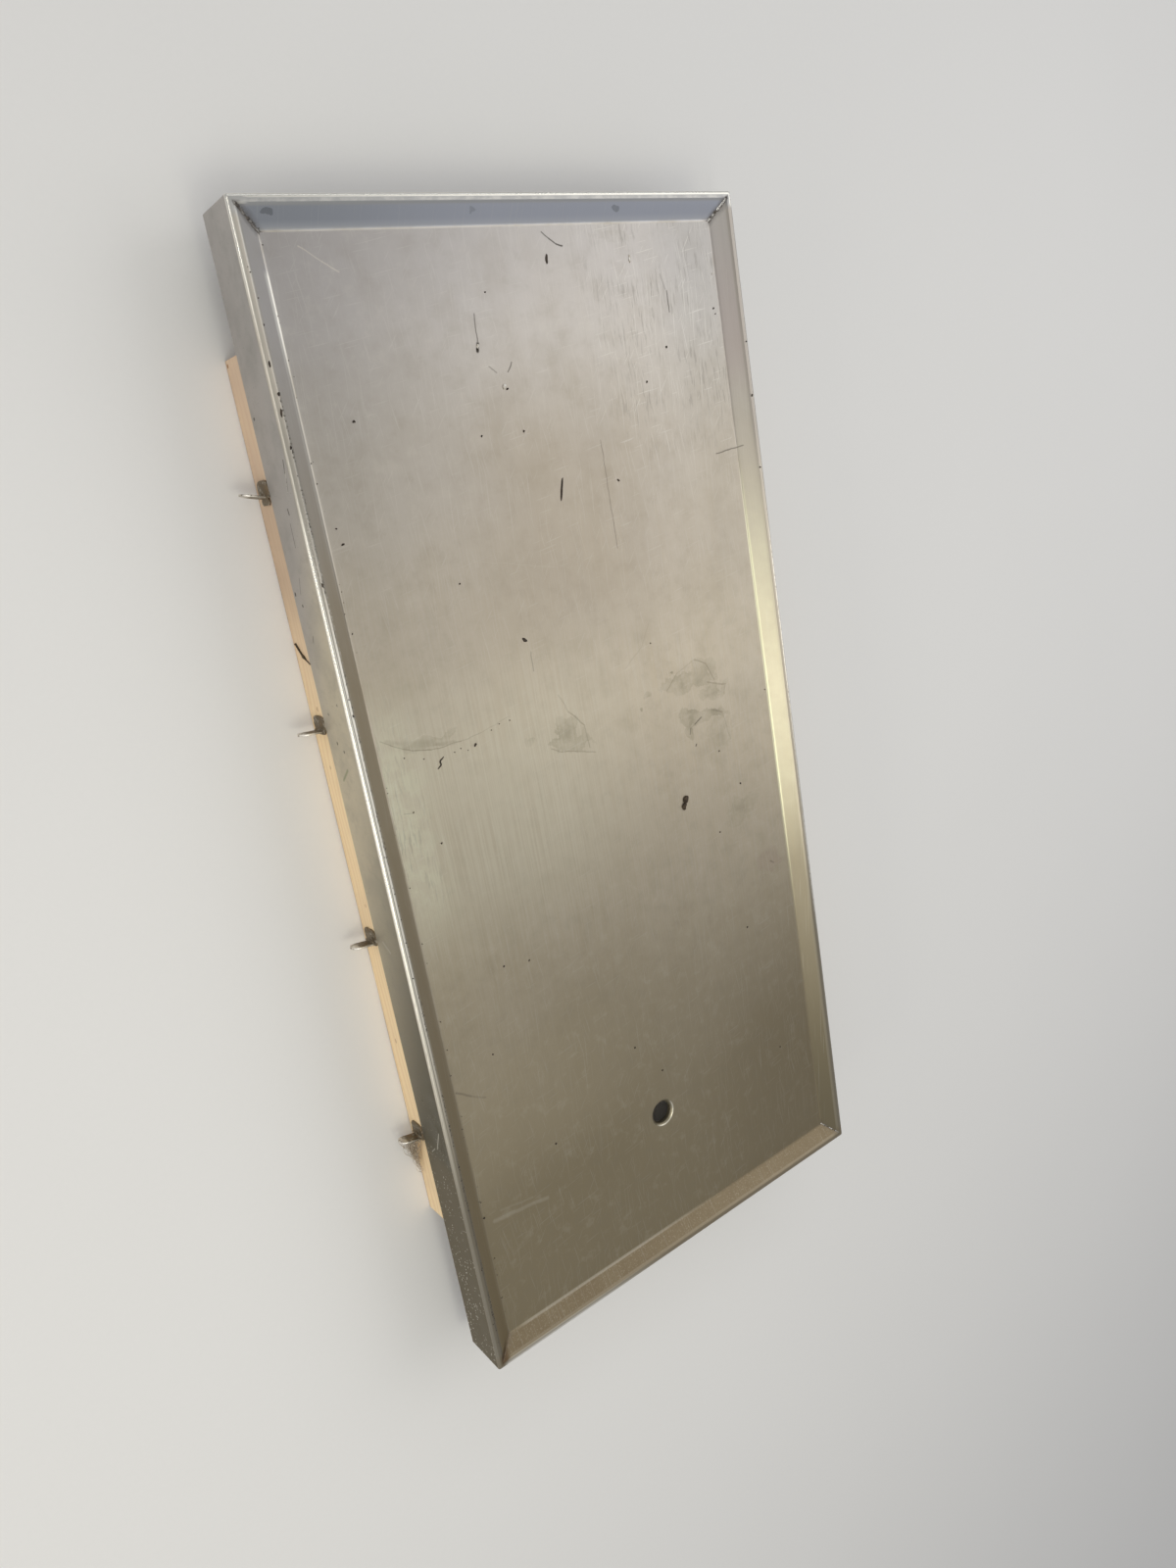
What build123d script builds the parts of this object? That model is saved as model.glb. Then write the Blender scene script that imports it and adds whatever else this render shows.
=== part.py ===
from build123d import *
import os

os.makedirs("parts", exist_ok=True)

# All sizes in millimetres and angles in degrees.
# X is the tray's width, Y its length towards the end without a drain, and Z is up from the floor.

# Folded steel tray
tray_width = 700.0
tray_length = 1472.0
sheet = 1.5
apron_depth = 72.0
rim_width = 8.0
slope_run = 24.0
pan_depth = 15.0

# Bend radii on the side of the sheet that shows
arris_radius = 3.0
rim_bend_radius = 3.5
floor_bend_radius = 6.0

# Drain hole, drawn down into a short collar
drain_from_end = 219.0
drain_hole_radius = 16.5
drain_lip_radius = 5.0
drain_collar_depth = 9.0

# Timber battens under the two long sides
batten_width = 45.0
batten_height = 100.0
batten_length = 1125.0
batten_from_end = 206.0
batten_edge_radius = 1.6
batten_clearance = 0.3

# Bent steel lugs on the battens' outer faces
lug_thickness = 2.5
lug_leaf_length = 20.0
lug_leaf_width = 32.0
lug_leaf_round = 8.0
lug_tongue_length = 32.0
lug_tongue_width = 20.0
lug_bend_radius = 2.0
lug_below_apron = 1.0

# Each lug's place from the batten's far end, and the lean of its tongue towards that end
lug_places = [154.0, 430.0, 711.0, 998.0]
lug_leans = [12.0, 4.0, 6.0, 9.0]

# Heights and places that follow from the sizes above
pan_floor = batten_height + sheet
rim_top = pan_floor + pan_depth
apron_foot = rim_top - apron_depth
slope_inset = rim_width + slope_run
half_width = tray_width / 2
half_length = tray_length / 2
batten_face = half_width - sheet - batten_clearance
batten_middle = -half_length + batten_from_end + batten_length / 2
batten_far_end = batten_middle + batten_length / 2
drain_place = -half_length + drain_from_end


def thickened(skin, thickness, side):
    """Closed face between a bent line and its parallel one thickness away."""
    return make_face(skin.offset_2d(thickness, side=side, closed=True))


def folded_edge():
    """Slope, rim and apron as one bent section, carried round the four sides with mitred corners."""
    flat_reach = 2 * floor_bend_radius
    skin = FilletPolyline(
        (half_width - slope_inset - flat_reach, 0, pan_floor),
        (half_width - slope_inset, 0, pan_floor),
        (half_width - rim_width, 0, rim_top),
        (half_width, 0, rim_top),
        (half_width, 0, apron_foot),
        radius=[floor_bend_radius, rim_bend_radius, arris_radius],
    )
    path = Polyline(
        (half_width, 0, 0),
        (half_width, half_length, 0),
        (-half_width, half_length, 0),
        (-half_width, -half_length, 0),
        (half_width, -half_length, 0),
        close=True,
    )
    return sweep(thickened(skin, sheet, Side.LEFT), path=path, transition=Transition.RIGHT)


def pan_plate():
    """Flat floor of the pan, up to where the folded edge begins to bend."""
    inset = slope_inset + floor_bend_radius
    plate = Box(tray_width - 2 * inset, tray_length - 2 * inset, sheet)
    return Pos(0, 0, pan_floor - sheet / 2) * plate


def drain_collar():
    """Rounded lip and straight wall of the drain, turned about its own axis."""
    skin = FilletPolyline(
        (drain_hole_radius + 2 * drain_lip_radius, 0, pan_floor),
        (drain_hole_radius, 0, pan_floor),
        (drain_hole_radius, 0, pan_floor - drain_collar_depth),
        radius=drain_lip_radius,
    )
    collar = revolve(thickened(skin, sheet, Side.RIGHT), axis=Axis.Z)
    return Pos(0, drain_place, 0) * collar


def steel_tray():
    opening = Cylinder(drain_hole_radius + 1.5 * drain_lip_radius, 4 * sheet)
    plate = pan_plate() - Pos(0, drain_place, pan_floor) * opening
    return folded_edge() + plate + drain_collar()


def batten(side):
    """Square-cut timber along one long side; side is -1 for the left and 1 for the right."""
    timber = Box(batten_width, batten_length, batten_height)
    timber = fillet(timber.edges().filter_by(Axis.Y), batten_edge_radius)
    across = side * (batten_face - batten_width / 2)
    return Pos(across, batten_middle, batten_height / 2) * timber


def lug(lean):
    """Lug with its leaf flat on the plane x = 0 and its tongue standing out along -X."""
    reach = Vector(-lug_tongue_length, 0, 0).rotate(Axis.Z, -lean)
    skin = FilletPolyline((0, lug_leaf_length), (0, 0), (reach.X, reach.Y), radius=lug_bend_radius + lug_thickness)
    strap = extrude(thickened(skin, lug_thickness, Side.RIGHT), lug_leaf_width / 2, dir=(0, 0, 1), both=True)
    leaf_start = lug_bend_radius + lug_thickness
    leaf_size = lug_leaf_length - leaf_start
    leaf = Rectangle(2 * leaf_size, lug_leaf_width)
    leaf = fillet(leaf.vertices(), lug_leaf_round)
    leaf = leaf & Pos(leaf_size / 2, 0) * Rectangle(leaf_size, lug_leaf_width)
    leaf_plane = Plane(origin=(0, leaf_start, 0), x_dir=(0, 1, 0), z_dir=(-1, 0, 0))
    leaf_block = extrude(leaf_plane * leaf, 2 * lug_thickness, both=True)
    tongue = SlotCenterToCenter(2 * (lug_tongue_length - lug_tongue_width / 2), lug_tongue_width)
    tongue_plane = Plane(origin=(0, 0, 0), x_dir=reach, z_dir=reach.cross(Vector(0, 0, 1)))
    tongue_block = extrude(tongue_plane * tongue, leaf_start, both=True)
    return strap & (leaf_block + tongue_block)


def placed_lugs():
    """The lugs of the left side, from the far end to the drain end."""
    height = apron_foot - lug_below_apron - lug_leaf_width / 2
    spots = [Pos(-batten_face, batten_far_end - place, height) for place in lug_places]
    return [spot * lug(lean) for spot, lean in zip(spots, lug_leans)]


parts = {
    "steel_tray": steel_tray(),
    "left_batten": batten(-1),
    "right_batten": batten(1),
}
for number, left_lug in enumerate(placed_lugs(), start=1):
    parts[f"left_lug_{number}"] = left_lug
    parts[f"right_lug_{number}"] = left_lug.mirror(Plane.YZ)

for name, part in parts.items():
    export_step(part, f"parts/{name}.step")
    box = part.bounding_box()
    print(name, round(part.volume), "mm3", box.min, box.max)
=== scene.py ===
import math
import random

import bmesh
import bpy
from mathutils import Euler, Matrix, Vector, noise


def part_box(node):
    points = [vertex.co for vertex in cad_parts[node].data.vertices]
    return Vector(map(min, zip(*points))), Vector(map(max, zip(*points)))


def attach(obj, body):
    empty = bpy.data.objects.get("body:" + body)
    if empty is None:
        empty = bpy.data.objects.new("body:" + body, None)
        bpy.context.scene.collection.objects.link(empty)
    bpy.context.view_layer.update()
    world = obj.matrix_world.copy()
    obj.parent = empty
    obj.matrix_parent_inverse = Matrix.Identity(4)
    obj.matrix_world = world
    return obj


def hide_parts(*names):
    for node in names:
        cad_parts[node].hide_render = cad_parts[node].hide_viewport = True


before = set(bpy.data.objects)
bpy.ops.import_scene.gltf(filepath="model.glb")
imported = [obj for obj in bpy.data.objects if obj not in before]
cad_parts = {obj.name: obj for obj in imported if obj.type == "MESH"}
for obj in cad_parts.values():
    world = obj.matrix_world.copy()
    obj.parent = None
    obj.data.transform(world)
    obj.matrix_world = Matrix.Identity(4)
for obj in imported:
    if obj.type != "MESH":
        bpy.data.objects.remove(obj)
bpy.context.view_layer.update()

mm = 0.001
scene = bpy.context.scene
scene.view_settings.view_transform = "Standard"


# shader kit: sockets that can be used in sums
class Wire:
    def __init__(self, kit, socket):
        self.kit = kit
        self.socket = socket

    def __add__(self, other):
        return self.kit.maths("ADD", self, other)

    def __sub__(self, other):
        return self.kit.maths("SUBTRACT", self, other)

    def __rsub__(self, other):
        return self.kit.maths("SUBTRACT", other, self)

    def __mul__(self, other):
        return self.kit.maths("MULTIPLY", self, other)

    def __abs__(self):
        return self.kit.maths("ABSOLUTE", self)

    __radd__ = __add__
    __rmul__ = __mul__

    def ramp(self, low, high, top=1.0):
        # 0 below low, top above high, smooth between; low may be the larger
        settings = {"interpolation_type": "SMOOTHSTEP"}
        values = {"Value": self, "From Min": low, "From Max": high, "To Max": top}
        return self.kit.node("ShaderNodeMapRange", settings, values, "Result")

    def around(self, middle, reach, core):
        # 1 within core of the middle, nothing beyond reach
        return abs(self - middle).ramp(reach, core)


class Kit:
    def __init__(self, tree):
        self.tree = tree

    def node(self, kind, settings=None, values=None, output=0):
        made = self.tree.nodes.new(kind)
        for name, value in (settings or {}).items():
            setattr(made, name, value)
        for name, value in (values or {}).items():
            if isinstance(value, Wire):
                self.tree.links.new(value.socket, made.inputs[name])
            else:
                made.inputs[name].default_value = value
        return Wire(self, made.outputs[output])

    def maths(self, operation, *values):
        return self.node("ShaderNodeMath", {"operation": operation}, dict(enumerate(values)))

    def most(self, first, *others):
        for value in others:
            first = self.maths("MAXIMUM", first, value)
        return first

    def vector(self, operation, *values, output=0):
        return self.node("ShaderNodeVectorMath", {"operation": operation}, dict(enumerate(values)), output)

    def mix(self, amount, first, second, blend="MIX"):
        settings = {"data_type": "RGBA", "blend_type": blend}
        both = [value if isinstance(value, Wire) else (*value, 1.0) for value in (first, second)]
        return self.node("ShaderNodeMix", settings, {0: amount, 6: both[0], 7: both[1]}, 2)

    def split(self, vector):
        made = self.node("ShaderNodeSeparateXYZ", None, {0: vector})
        return [Wire(self, socket) for socket in made.socket.node.outputs]

    def join(self, x, y, z=0.0):
        return self.node("ShaderNodeCombineXYZ", None, {0: x, 1: y, 2: z})

    def noise(self, place, scale, detail=2.0, roughness=0.5, size="3D"):
        values = {"Vector": place, "Scale": scale, "Detail": detail, "Roughness": roughness}
        return self.node("ShaderNodeTexNoise", {"noise_dimensions": size}, values, "Fac")

    def grain(self, across, along, detail=1.0):
        return self.noise(self.join(across, along), 1.0, detail, size="2D")

    def layers(self, colour, *layers):
        for amount, tone in layers:
            colour = self.mix(amount, colour, tone)
        return colour

    def bump(self, height, strength, distance):
        values = {"Height": height, "Strength": strength, "Distance": distance}
        return self.node("ShaderNodeBump", None, values)

    def place(self):
        return self.node("ShaderNodeTexCoord", None, None, "Object")

    def facing(self):
        return self.split(self.node("ShaderNodeNewGeometry", None, None, "Normal"))


def makeMaterial(name, paint):
    material = bpy.data.materials.new(name)
    material.use_nodes = True
    tree = material.node_tree
    shader = tree.nodes["Principled BSDF"]
    kit = Kit(tree)
    for socket, value in paint(kit).items():
        if isinstance(value, Wire):
            tree.links.new(value.socket, shader.inputs[socket])
        else:
            shader.inputs[socket].default_value = value
    return material


def dressNode(name, material):
    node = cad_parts[name]
    if not node.material_slots:
        node.data.materials.append(material)
    for slot in node.material_slots:
        slot.material = material


def makePiece(name, points, faces, materials, sharpAngle=40.0):
    mesh = bpy.data.meshes.new(name)
    mesh.from_pydata(points, [], faces)
    bm = bmesh.new()
    bm.from_mesh(mesh)
    bmesh.ops.recalc_face_normals(bm, faces=bm.faces)
    for face in bm.faces:
        face.smooth = True
    for edge in bm.edges:
        edge.smooth = edge.calc_face_angle(0.0) < math.radians(sharpAngle)
    bm.to_mesh(mesh)
    bm.free()
    piece = bpy.data.objects.new(name, mesh)
    scene.collection.objects.link(piece)
    for material in materials:
        mesh.materials.append(material)
    return piece


def joinRows(faces, rows):
    # walls between closed rows of points, and a lid at each end
    for first, second in zip(rows, rows[1:]):
        for step in range(len(first)):
            onward = (step + 1) % len(first)
            faces.append((first[step], first[onward], second[onward], second[step]))
    faces.append(tuple(rows[0]))
    faces.append(tuple(reversed(rows[-1])))


def placeHolder(name, data, spot, turn):
    holder = bpy.data.objects.new(name, data)
    holder.location = spot
    holder.rotation_euler = turn
    scene.collection.objects.link(holder)
    return holder


# camera
photoView = {
    "place": (-0.8181, 0.4123, 1.2846),
    "turn": (-9.0556, -35.7781, -11.7834),
    "lens": 25.145,
    "sensor": 36.0,
}


def setCamera():
    camera = bpy.data.cameras.new("photoCamera")
    camera.lens = photoView["lens"]
    camera.sensor_width = photoView["sensor"]
    turn = Euler([math.radians(angle) for angle in photoView["turn"]])
    scene.camera = placeHolder("photoCamera", camera, photoView["place"], turn)


setCamera()
print("camera set")

# studio: pale floor, soft lamps, even sky
studio = {
    "floorSize": 90.0,
    "floorColour": (0.80, 0.79, 0.77),
    "skyTop": (0.44, 0.44, 0.44),
    "skySide": (0.345, 0.365, 0.41),
    "skyLow": (0.58, 0.56, 0.52),
    "lowHeight": (0.24, 0.10),       # the low part of the sky fades in between these heights
    "lowSide": (-0.6, -0.8),
    "lamps": [
        # name, place, aim, size along Y, size across, watts, colour
        ("rightWindow", (2.1, 0.5, 2.3), (0.0, 0.0, 0.1), 2.7, 2.3, 20.0, (1.0, 0.99, 0.98)),
        ("leftStrip", (-1.6, -0.1, 2.6), (0.0, 0.0, 0.1), 3.6, 0.30, 19.0, (1.0, 0.98, 0.93)),
        ("ceilingPanel", (-0.6, -0.75, 2.7), (0.1, -0.2, 0.1), 0.9, 0.9, 9.0, (1.0, 0.98, 0.83)),
        ("farStrip", (0.9, 2.9, 1.9), (0.0, 0.7, 0.1), 3.4, 0.4, 8.0, (0.96, 0.98, 1.0)),
        ("lowLeft", (-2.4, -0.3, 0.9), (0.0, -0.2, 0.05), 2.6, 0.5, 9.5, (1.0, 0.95, 0.84)),
    ],
}


def paintFloor(kit):
    place = kit.place()
    cloud = kit.noise(place, 1.7, 3.0)
    speckle = kit.noise(place, 160.0, 2.0)
    shade = cloud * 0.03 + speckle * 0.02 + 0.97
    return {
        "Base Color": kit.mix(1.0, studio["floorColour"], kit.join(shade, shade, shade), "MULTIPLY"),
        "Roughness": speckle * 0.1 + 0.75,
    }


def setStudio():
    half = studio["floorSize"] / 2
    corners = [(-half, -half, 0.0), (half, -half, 0.0), (half, half, 0.0), (-half, half, 0.0)]
    floor = makePiece("studioFloor", corners, [(0, 1, 2, 3)], [makeMaterial("paleFloor", paintFloor)])
    for name, place, aim, length, width, watts, colour in studio["lamps"]:
        light = bpy.data.lights.new(name, "AREA")
        light.shape = "RECTANGLE"
        light.size = length
        light.size_y = width
        light.energy = watts
        light.color = colour
        turn = (Vector(aim) - Vector(place)).to_track_quat("-Z", "Y").to_euler()
        placeHolder(name, light, place, turn)
    world = bpy.data.worlds.new("studioSky")
    world.use_nodes = True
    scene.world = world
    kit = Kit(world.node_tree)
    along, height = kit.split(kit.node("ShaderNodeTexCoord", None, None, "Generated"))[1:]
    sky = kit.mix(height.ramp(0.0, 1.0), studio["skySide"], studio["skyTop"])
    low = height.ramp(*studio["lowHeight"]) * along.ramp(*studio["lowSide"])
    sky = kit.mix(low, sky, studio["skyLow"])
    world.node_tree.links.new(sky.socket, world.node_tree.nodes["Background"].inputs["Color"])


setStudio()
print("studio set")

# folded tray: floor grid, four mitred folds and the drain, each with the sheet's thickness
tray = {
    "sheet": 1.5 * mm,
    "rimWidth": 8.0 * mm,
    "slopeRun": 24.0 * mm,
    "panDepth": 15.0 * mm,
    "arrisRadius": 3.0 * mm,
    "rimBend": 3.5 * mm,
    "floorBend": 6.0 * mm,
    "bendSteps": 7,
    "outerCorner": 2.6 * mm,
    "innerCorner": 1.2 * mm,
    "cornerSteps": 4,
    "nearCorner": [0.0, 1.0, 2.2, 3.8, 6.0, 9.0, 14.0],   # mm from each corner, where points stand close
    "gridStep": 13.0 * mm,
    "longest": 9.0 * mm,    # between two points down the folded edge
    "wave": 0.9 * mm,
}
drain = {
    "place": -0.517,
    "hole": 16.5 * mm,
    "lip": 5.0 * mm,
    "collar": 9.0 * mm,
    "lipSteps": 8,
    "longest": 4.0 * mm,
    "flat": 29.0 * mm,      # radius where the round part meets the grid
    "clear": 4.0 * mm,      # left free round it
    "split": 4,             # round steps for each step of the grid
}
trayLow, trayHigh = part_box("steel_tray")
rimTop = trayHigh.z
panFloor = rimTop - tray["panDepth"]
slopeInset = tray["rimWidth"] + tray["slopeRun"]


# masks for marks at known places
def strokeMask(kit, flat, strokes):
    # 1 along the middle of each stroke, fading to nothing at its half width
    total = 0.0
    for x1, y1, x2, y2, width, strength in strokes:
        run = Vector((x2 - x1, y2 - y1, 0.0)) * mm
        away = kit.vector("SUBTRACT", flat, (x1 * mm, y1 * mm, 0.0))
        part = kit.vector("DOT_PRODUCT", away, tuple(run / run.length_squared), output=1)
        part = kit.node("ShaderNodeClamp", None, {"Value": part})
        nearest = kit.node("ShaderNodeVectorMath", {"operation": "SCALE"}, {0: tuple(run), "Scale": part})
        gap = kit.vector("DISTANCE", away, nearest, output=1)
        total = kit.most(total, gap.ramp(width * mm, width * 0.25 * mm, strength))
    return total


def patchMask(kit, flat, patches, ragged=0.0):
    # ovals whose edge is pushed in and out by ragged
    total = 0.0
    for x, y, wide, high, strength in patches:
        away = kit.vector("SUBTRACT", flat, (x * mm, y * mm, 0.0))
        shrunk = kit.vector("DIVIDE", away, (wide * mm, high * mm, 1.0))
        reach = kit.vector("LENGTH", shrunk, output=1) + ragged
        total = kit.most(total, reach.ramp(1.0, 0.86, strength))
    return total


# the tray's steel: one brushed ground, and what each zone has on it
steelLook = {
    "roughness": 0.35,
    "grainDepth": 0.07 * mm,
    "loose": 26.0 * mm,     # how far the edges of marks wander
    "tight": 6.0 * mm,
    # angle, closeness across, closeness along and how rare
    "longScratches": (4.0, 620.0, 9.0, 0.70),
    "shortScratches": [(-7.0, 540.0, 14.0, 0.71), (38.0, 500.0, 22.0, 0.735), (81.0, 420.0, 18.0, 0.735)],
    "darkScratches": (1.5, 330.0, 34.0, 0.60),
    # strokes are x1, y1, x2, y2, half width and strength, in mm from the tray's middle
    "darkStrokes": [
        (226.6, 620, 225.6, 593, 1.2, 0.6), (219, 640, 224, 622, 0.8, 0.35),
        (80.7, 447, 80.2, 307, 0.9, 0.35), (-75.7, 609, -77.7, 576, 1.2, 0.5),
        (-77.7, 576, -79.3, 568, 2.8, 0.8), (40.5, 695, 50, 687.5, 1.3, 0.6),
        (50, 687.5, 59.4, 680.7, 1.5, 0.7), (59.4, 680.7, 68, 679, 1.6, 0.8),
        (-35.2, 551.6, -42.5, 540, 1.2, 0.55), (-68.5, 549.8, -58.7, 541.6, 1.1, 0.35),
        (-81.7, 205, -84.2, 179, 1.0, 0.35), (-315.4, -325, -296, -338, 2.4, 0.40),
        (-300, -336, -276, -349, 2.2, 0.28),
        (168.3, 38.6, 183, 46.3, 1.4, 0.6), (-302.3, 55.3, -288, 52, 0.8, 0.4),
        (165.6, 9, 167.2, 11, 1.5, 0.8), (157, 28.5, 160, 36, 1.3, 0.5),
        (280, -211, 286, -216, 2.2, 0.35),
    ],
    "runOnStrokes": [(277, 404, 326, 408.5, 1.3, 0.5)],
    "tideStrokes": [
        (-311, 148, -294, 138.3, 1.1, 0.5), (-294, 138.3, -273, 128, 1.2, 0.55),
        (-273, 128, -248, 121, 1.2, 0.55), (-248, 121, -206, 120.5, 1.1, 0.42),
        (-206, 120.5, -176, 124, 0.9, 0.25), (-176, 124, -132, 132, 0.8, 0.18),
        (-303, 146, -285, 139, 4.0, 0.2), (-285, 138, -245, 127.5, 8.0, 0.2),
        (-245, 127.5, -215, 121, 4.0, 0.2), (60, 146, 96, 171, 1.2, 0.16), (96, 171, 112, 198, 1.2, 0.14),
        (-52.5, 139, -41.8, 114.4, 1.5, 0.22), (-41.8, 114.4, -20.5, 90.2, 1.5, 0.36),
        (-20.5, 90.2, -18.2, 58.5, 1.4, 0.26), (-78.3, 74.3, -64.2, 65.9, 1.4, 0.34),
        (-64.2, 65.9, -10.2, 50.3, 1.3, 0.34), (183.9, 131.4, 204.6, 120.7, 1.4, 0.42),
        (204.6, 120.7, 216.3, 94, 1.3, 0.36), (203, 93, 236.4, 82.4, 1.7, 0.36),
        (236.4, 82.4, 232.4, 70, 1.3, 0.3), (126, 98.7, 148, 118.7, 1.2, 0.3),
        (148, 118.7, 183.9, 131.4, 1.1, 0.2), (203.6, 52.6, 223.5, 44.3, 2.4, 0.4),
        (223.5, 44.3, 233, 0, 1.2, 0.2),
    ],
    "lightStrokes": [
        (-277, 688, -236, 660.5, 1.1, 0.45), (-301.7, -528, -217, -541, 4.4, 0.18),
        (-290, -519, -240, -527, 2.6, 0.10), (120, 545, 210, 520, 0.7, 0.12),
        (-60, -60, 30, 14, 0.6, 0.12), (-140, 330, -20, 300, 0.6, 0.10),
    ],
    # marks on the left apron, as distance along and height
    "apronRubs": [
        (476, 106.5, 463, 103.6, 1.5, 0.8), (457, 104, 444, 100, 1.1, 0.6),
        (425.5, 87, 420, 88, 1.7, 0.85), (410, 84.8, 384, 83.7, 1.0, 0.55), (350, 73, 332, 66, 1.1, 0.45),
        (283, 73, 276, 70, 1.4, 0.5), (-359, 99, -405, 104, 1.4, 0.35), (-385, 100, -398, 92, 1.6, 0.3),
    ],
    "apronPale": [
        (-368, 98, -398, 82, 1.5, 0.6), (-401, 74, -411, 62, 1.0, 0.5),
        (466, 105.5, 455, 102.5, 0.9, 0.8), (452, 101.5, 443, 98.5, 0.8, 0.7),
        (-105, 64, -115, 80, 2.6, 0.28),
    ],
    "apronGreen": [(123, 82, 108, 62, 2.6, 0.5)],
    # patches are x, y, half width, half height and strength
    "smears": [
        (160, 106, 34, 15, 0.55), (194, 106, 24, 24, 0.5), (212, 80, 26, 10, 0.42),
        (163, 52, 17, 18, 0.7), (158, 32, 10, 12, 0.55), (207, 46, 26, 10, 0.6), (212, 14, 24, 32, 0.3),
        (240, -106, 28, 15, 0.4), (226, -122, 22, 14, 0.32), (93, 103, 6, 5, 0.55),
        (137.5, 121, 3, 3.4, 0.9), (80, 84, 3, 3, 0.8), (-54, 84, 30, 20, 0.5), (-36, 70, 24, 14, 0.42),
        (-107, 92.6, 8, 7, 0.28), (-248, 132, 44, 7, 0.4), (150, 690, 26, 8, 0.2),
    ],
    "blushes": [(278, -208, 26, 22, 0.14), (290, -214, 13, 14, 0.16)],
    "farMarks": [(-305, 716, 7, 5, 0.6), (156, 719, 9, 5, 0.45), (-60, 716, 5, 3, 0.3)],
    "apronCrumbs": [
        (332, 50, 2.8, 2.0, 0.85), (318.5, 64, 2.0, 1.7, 0.85), (526, 52, 2.0, 2.4, 0.7),
        (-330, 70, 2.0, 1.4, 0.6), (155, 70, 2.4, 1.8, 0.7), (146, 84.7, 2.0, 1.8, 0.7),
        (190, 63.3, 1.8, 1.6, 0.6), (203, 95.7, 1.8, 1.6, 0.6),
    ],
}
steelTones = {
    "warm": (0.52, 0.452, 0.342),
    "cool": (0.51, 0.485, 0.452),
    "filmAndShade": (0.30, 0.25, 0.160),
    "streak": (0.62, 0.59, 0.54),
    "scratch": (0.68, 0.66, 0.60),
    "dust": (0.150, 0.124, 0.080),
    "dark": (0.045, 0.036, 0.026),
    "panMiddle": (0.30, 0.245, 0.175),
    "panRight": (0.34, 0.335, 0.31),
    "panHighlight": (0.68, 0.64, 0.50),
    "smear": (0.275, 0.25, 0.17),
    "tide": (0.20, 0.17, 0.115),
    "blush": (0.33, 0.22, 0.19),
    "lightMark": (0.66, 0.61, 0.52),
    "rubbed": (0.72, 0.71, 0.54),
    "darkScratch": (0.24, 0.225, 0.20),
    "drainCollarShade": (0.17, 0.145, 0.09),
    "drainSide": (0.33, 0.29, 0.20),
    "drainLipHighlight": (0.86, 0.81, 0.68),
    "farMark": (0.16, 0.17, 0.18),
    "rightSlope": (0.74, 0.72, 0.54),
    "nearSlope": (0.205, 0.155, 0.095),
    "paintedHighlight": (0.92, 0.89, 0.80),
    "rightHighlight": (0.93, 0.91, 0.64),
    "shadeLine": (0.10, 0.09, 0.075),
    "heat": (0.16, 0.145, 0.135),
    "scorch": (0.13, 0.08, 0.04),
    "dustBit": (0.72, 0.68, 0.60),
    "paleRub": (0.72, 0.69, 0.62),
    "green": (0.20, 0.25, 0.12),
    "apronNearShade": (0.128, 0.116, 0.084),
    "apronMiddleLight": (0.66, 0.60, 0.475),
    "apronFarReflection": (0.50, 0.475, 0.455),
}
# bands of the folded edge, as insets from the tray's outside
edgeBands = {
    # nothing here, all here
    "outerLine": (5.0 * mm, 3.6 * mm),
    "rimFlat": (9.0 * mm, 7.8 * mm),
    "rim": (12.5 * mm, 9.5 * mm),
    "highlightFlecks": (12.5 * mm, 11.0 * mm),
    # middle, reach and core
    "shadeLine": (5.2 * mm, 0.8 * mm, 0.2 * mm),
    "innerLine": (9.0 * mm, 1.2 * mm, 0.5 * mm),
    "rimBend": (9.5 * mm, 2.8 * mm, 0.6 * mm),
    "leftBendHighlight": (30.8 * mm, 4.2 * mm, 1.4 * mm),
    "bendLine": (31.8 * mm, 3.0 * mm, 1.2 * mm),
    "floorBend": (33.5 * mm, 5.0 * mm, 0.5 * mm),
}
leftRim = ("x", -0.325, -0.335)
rightRim = ("x", 0.325, 0.335)
farRim = ("y", 0.712, 0.722)
nearRim = ("y", -0.712, -0.722)
leftSide = ("x", -0.30, -0.31)
rightSide = ("x", 0.30, 0.31)
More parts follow.
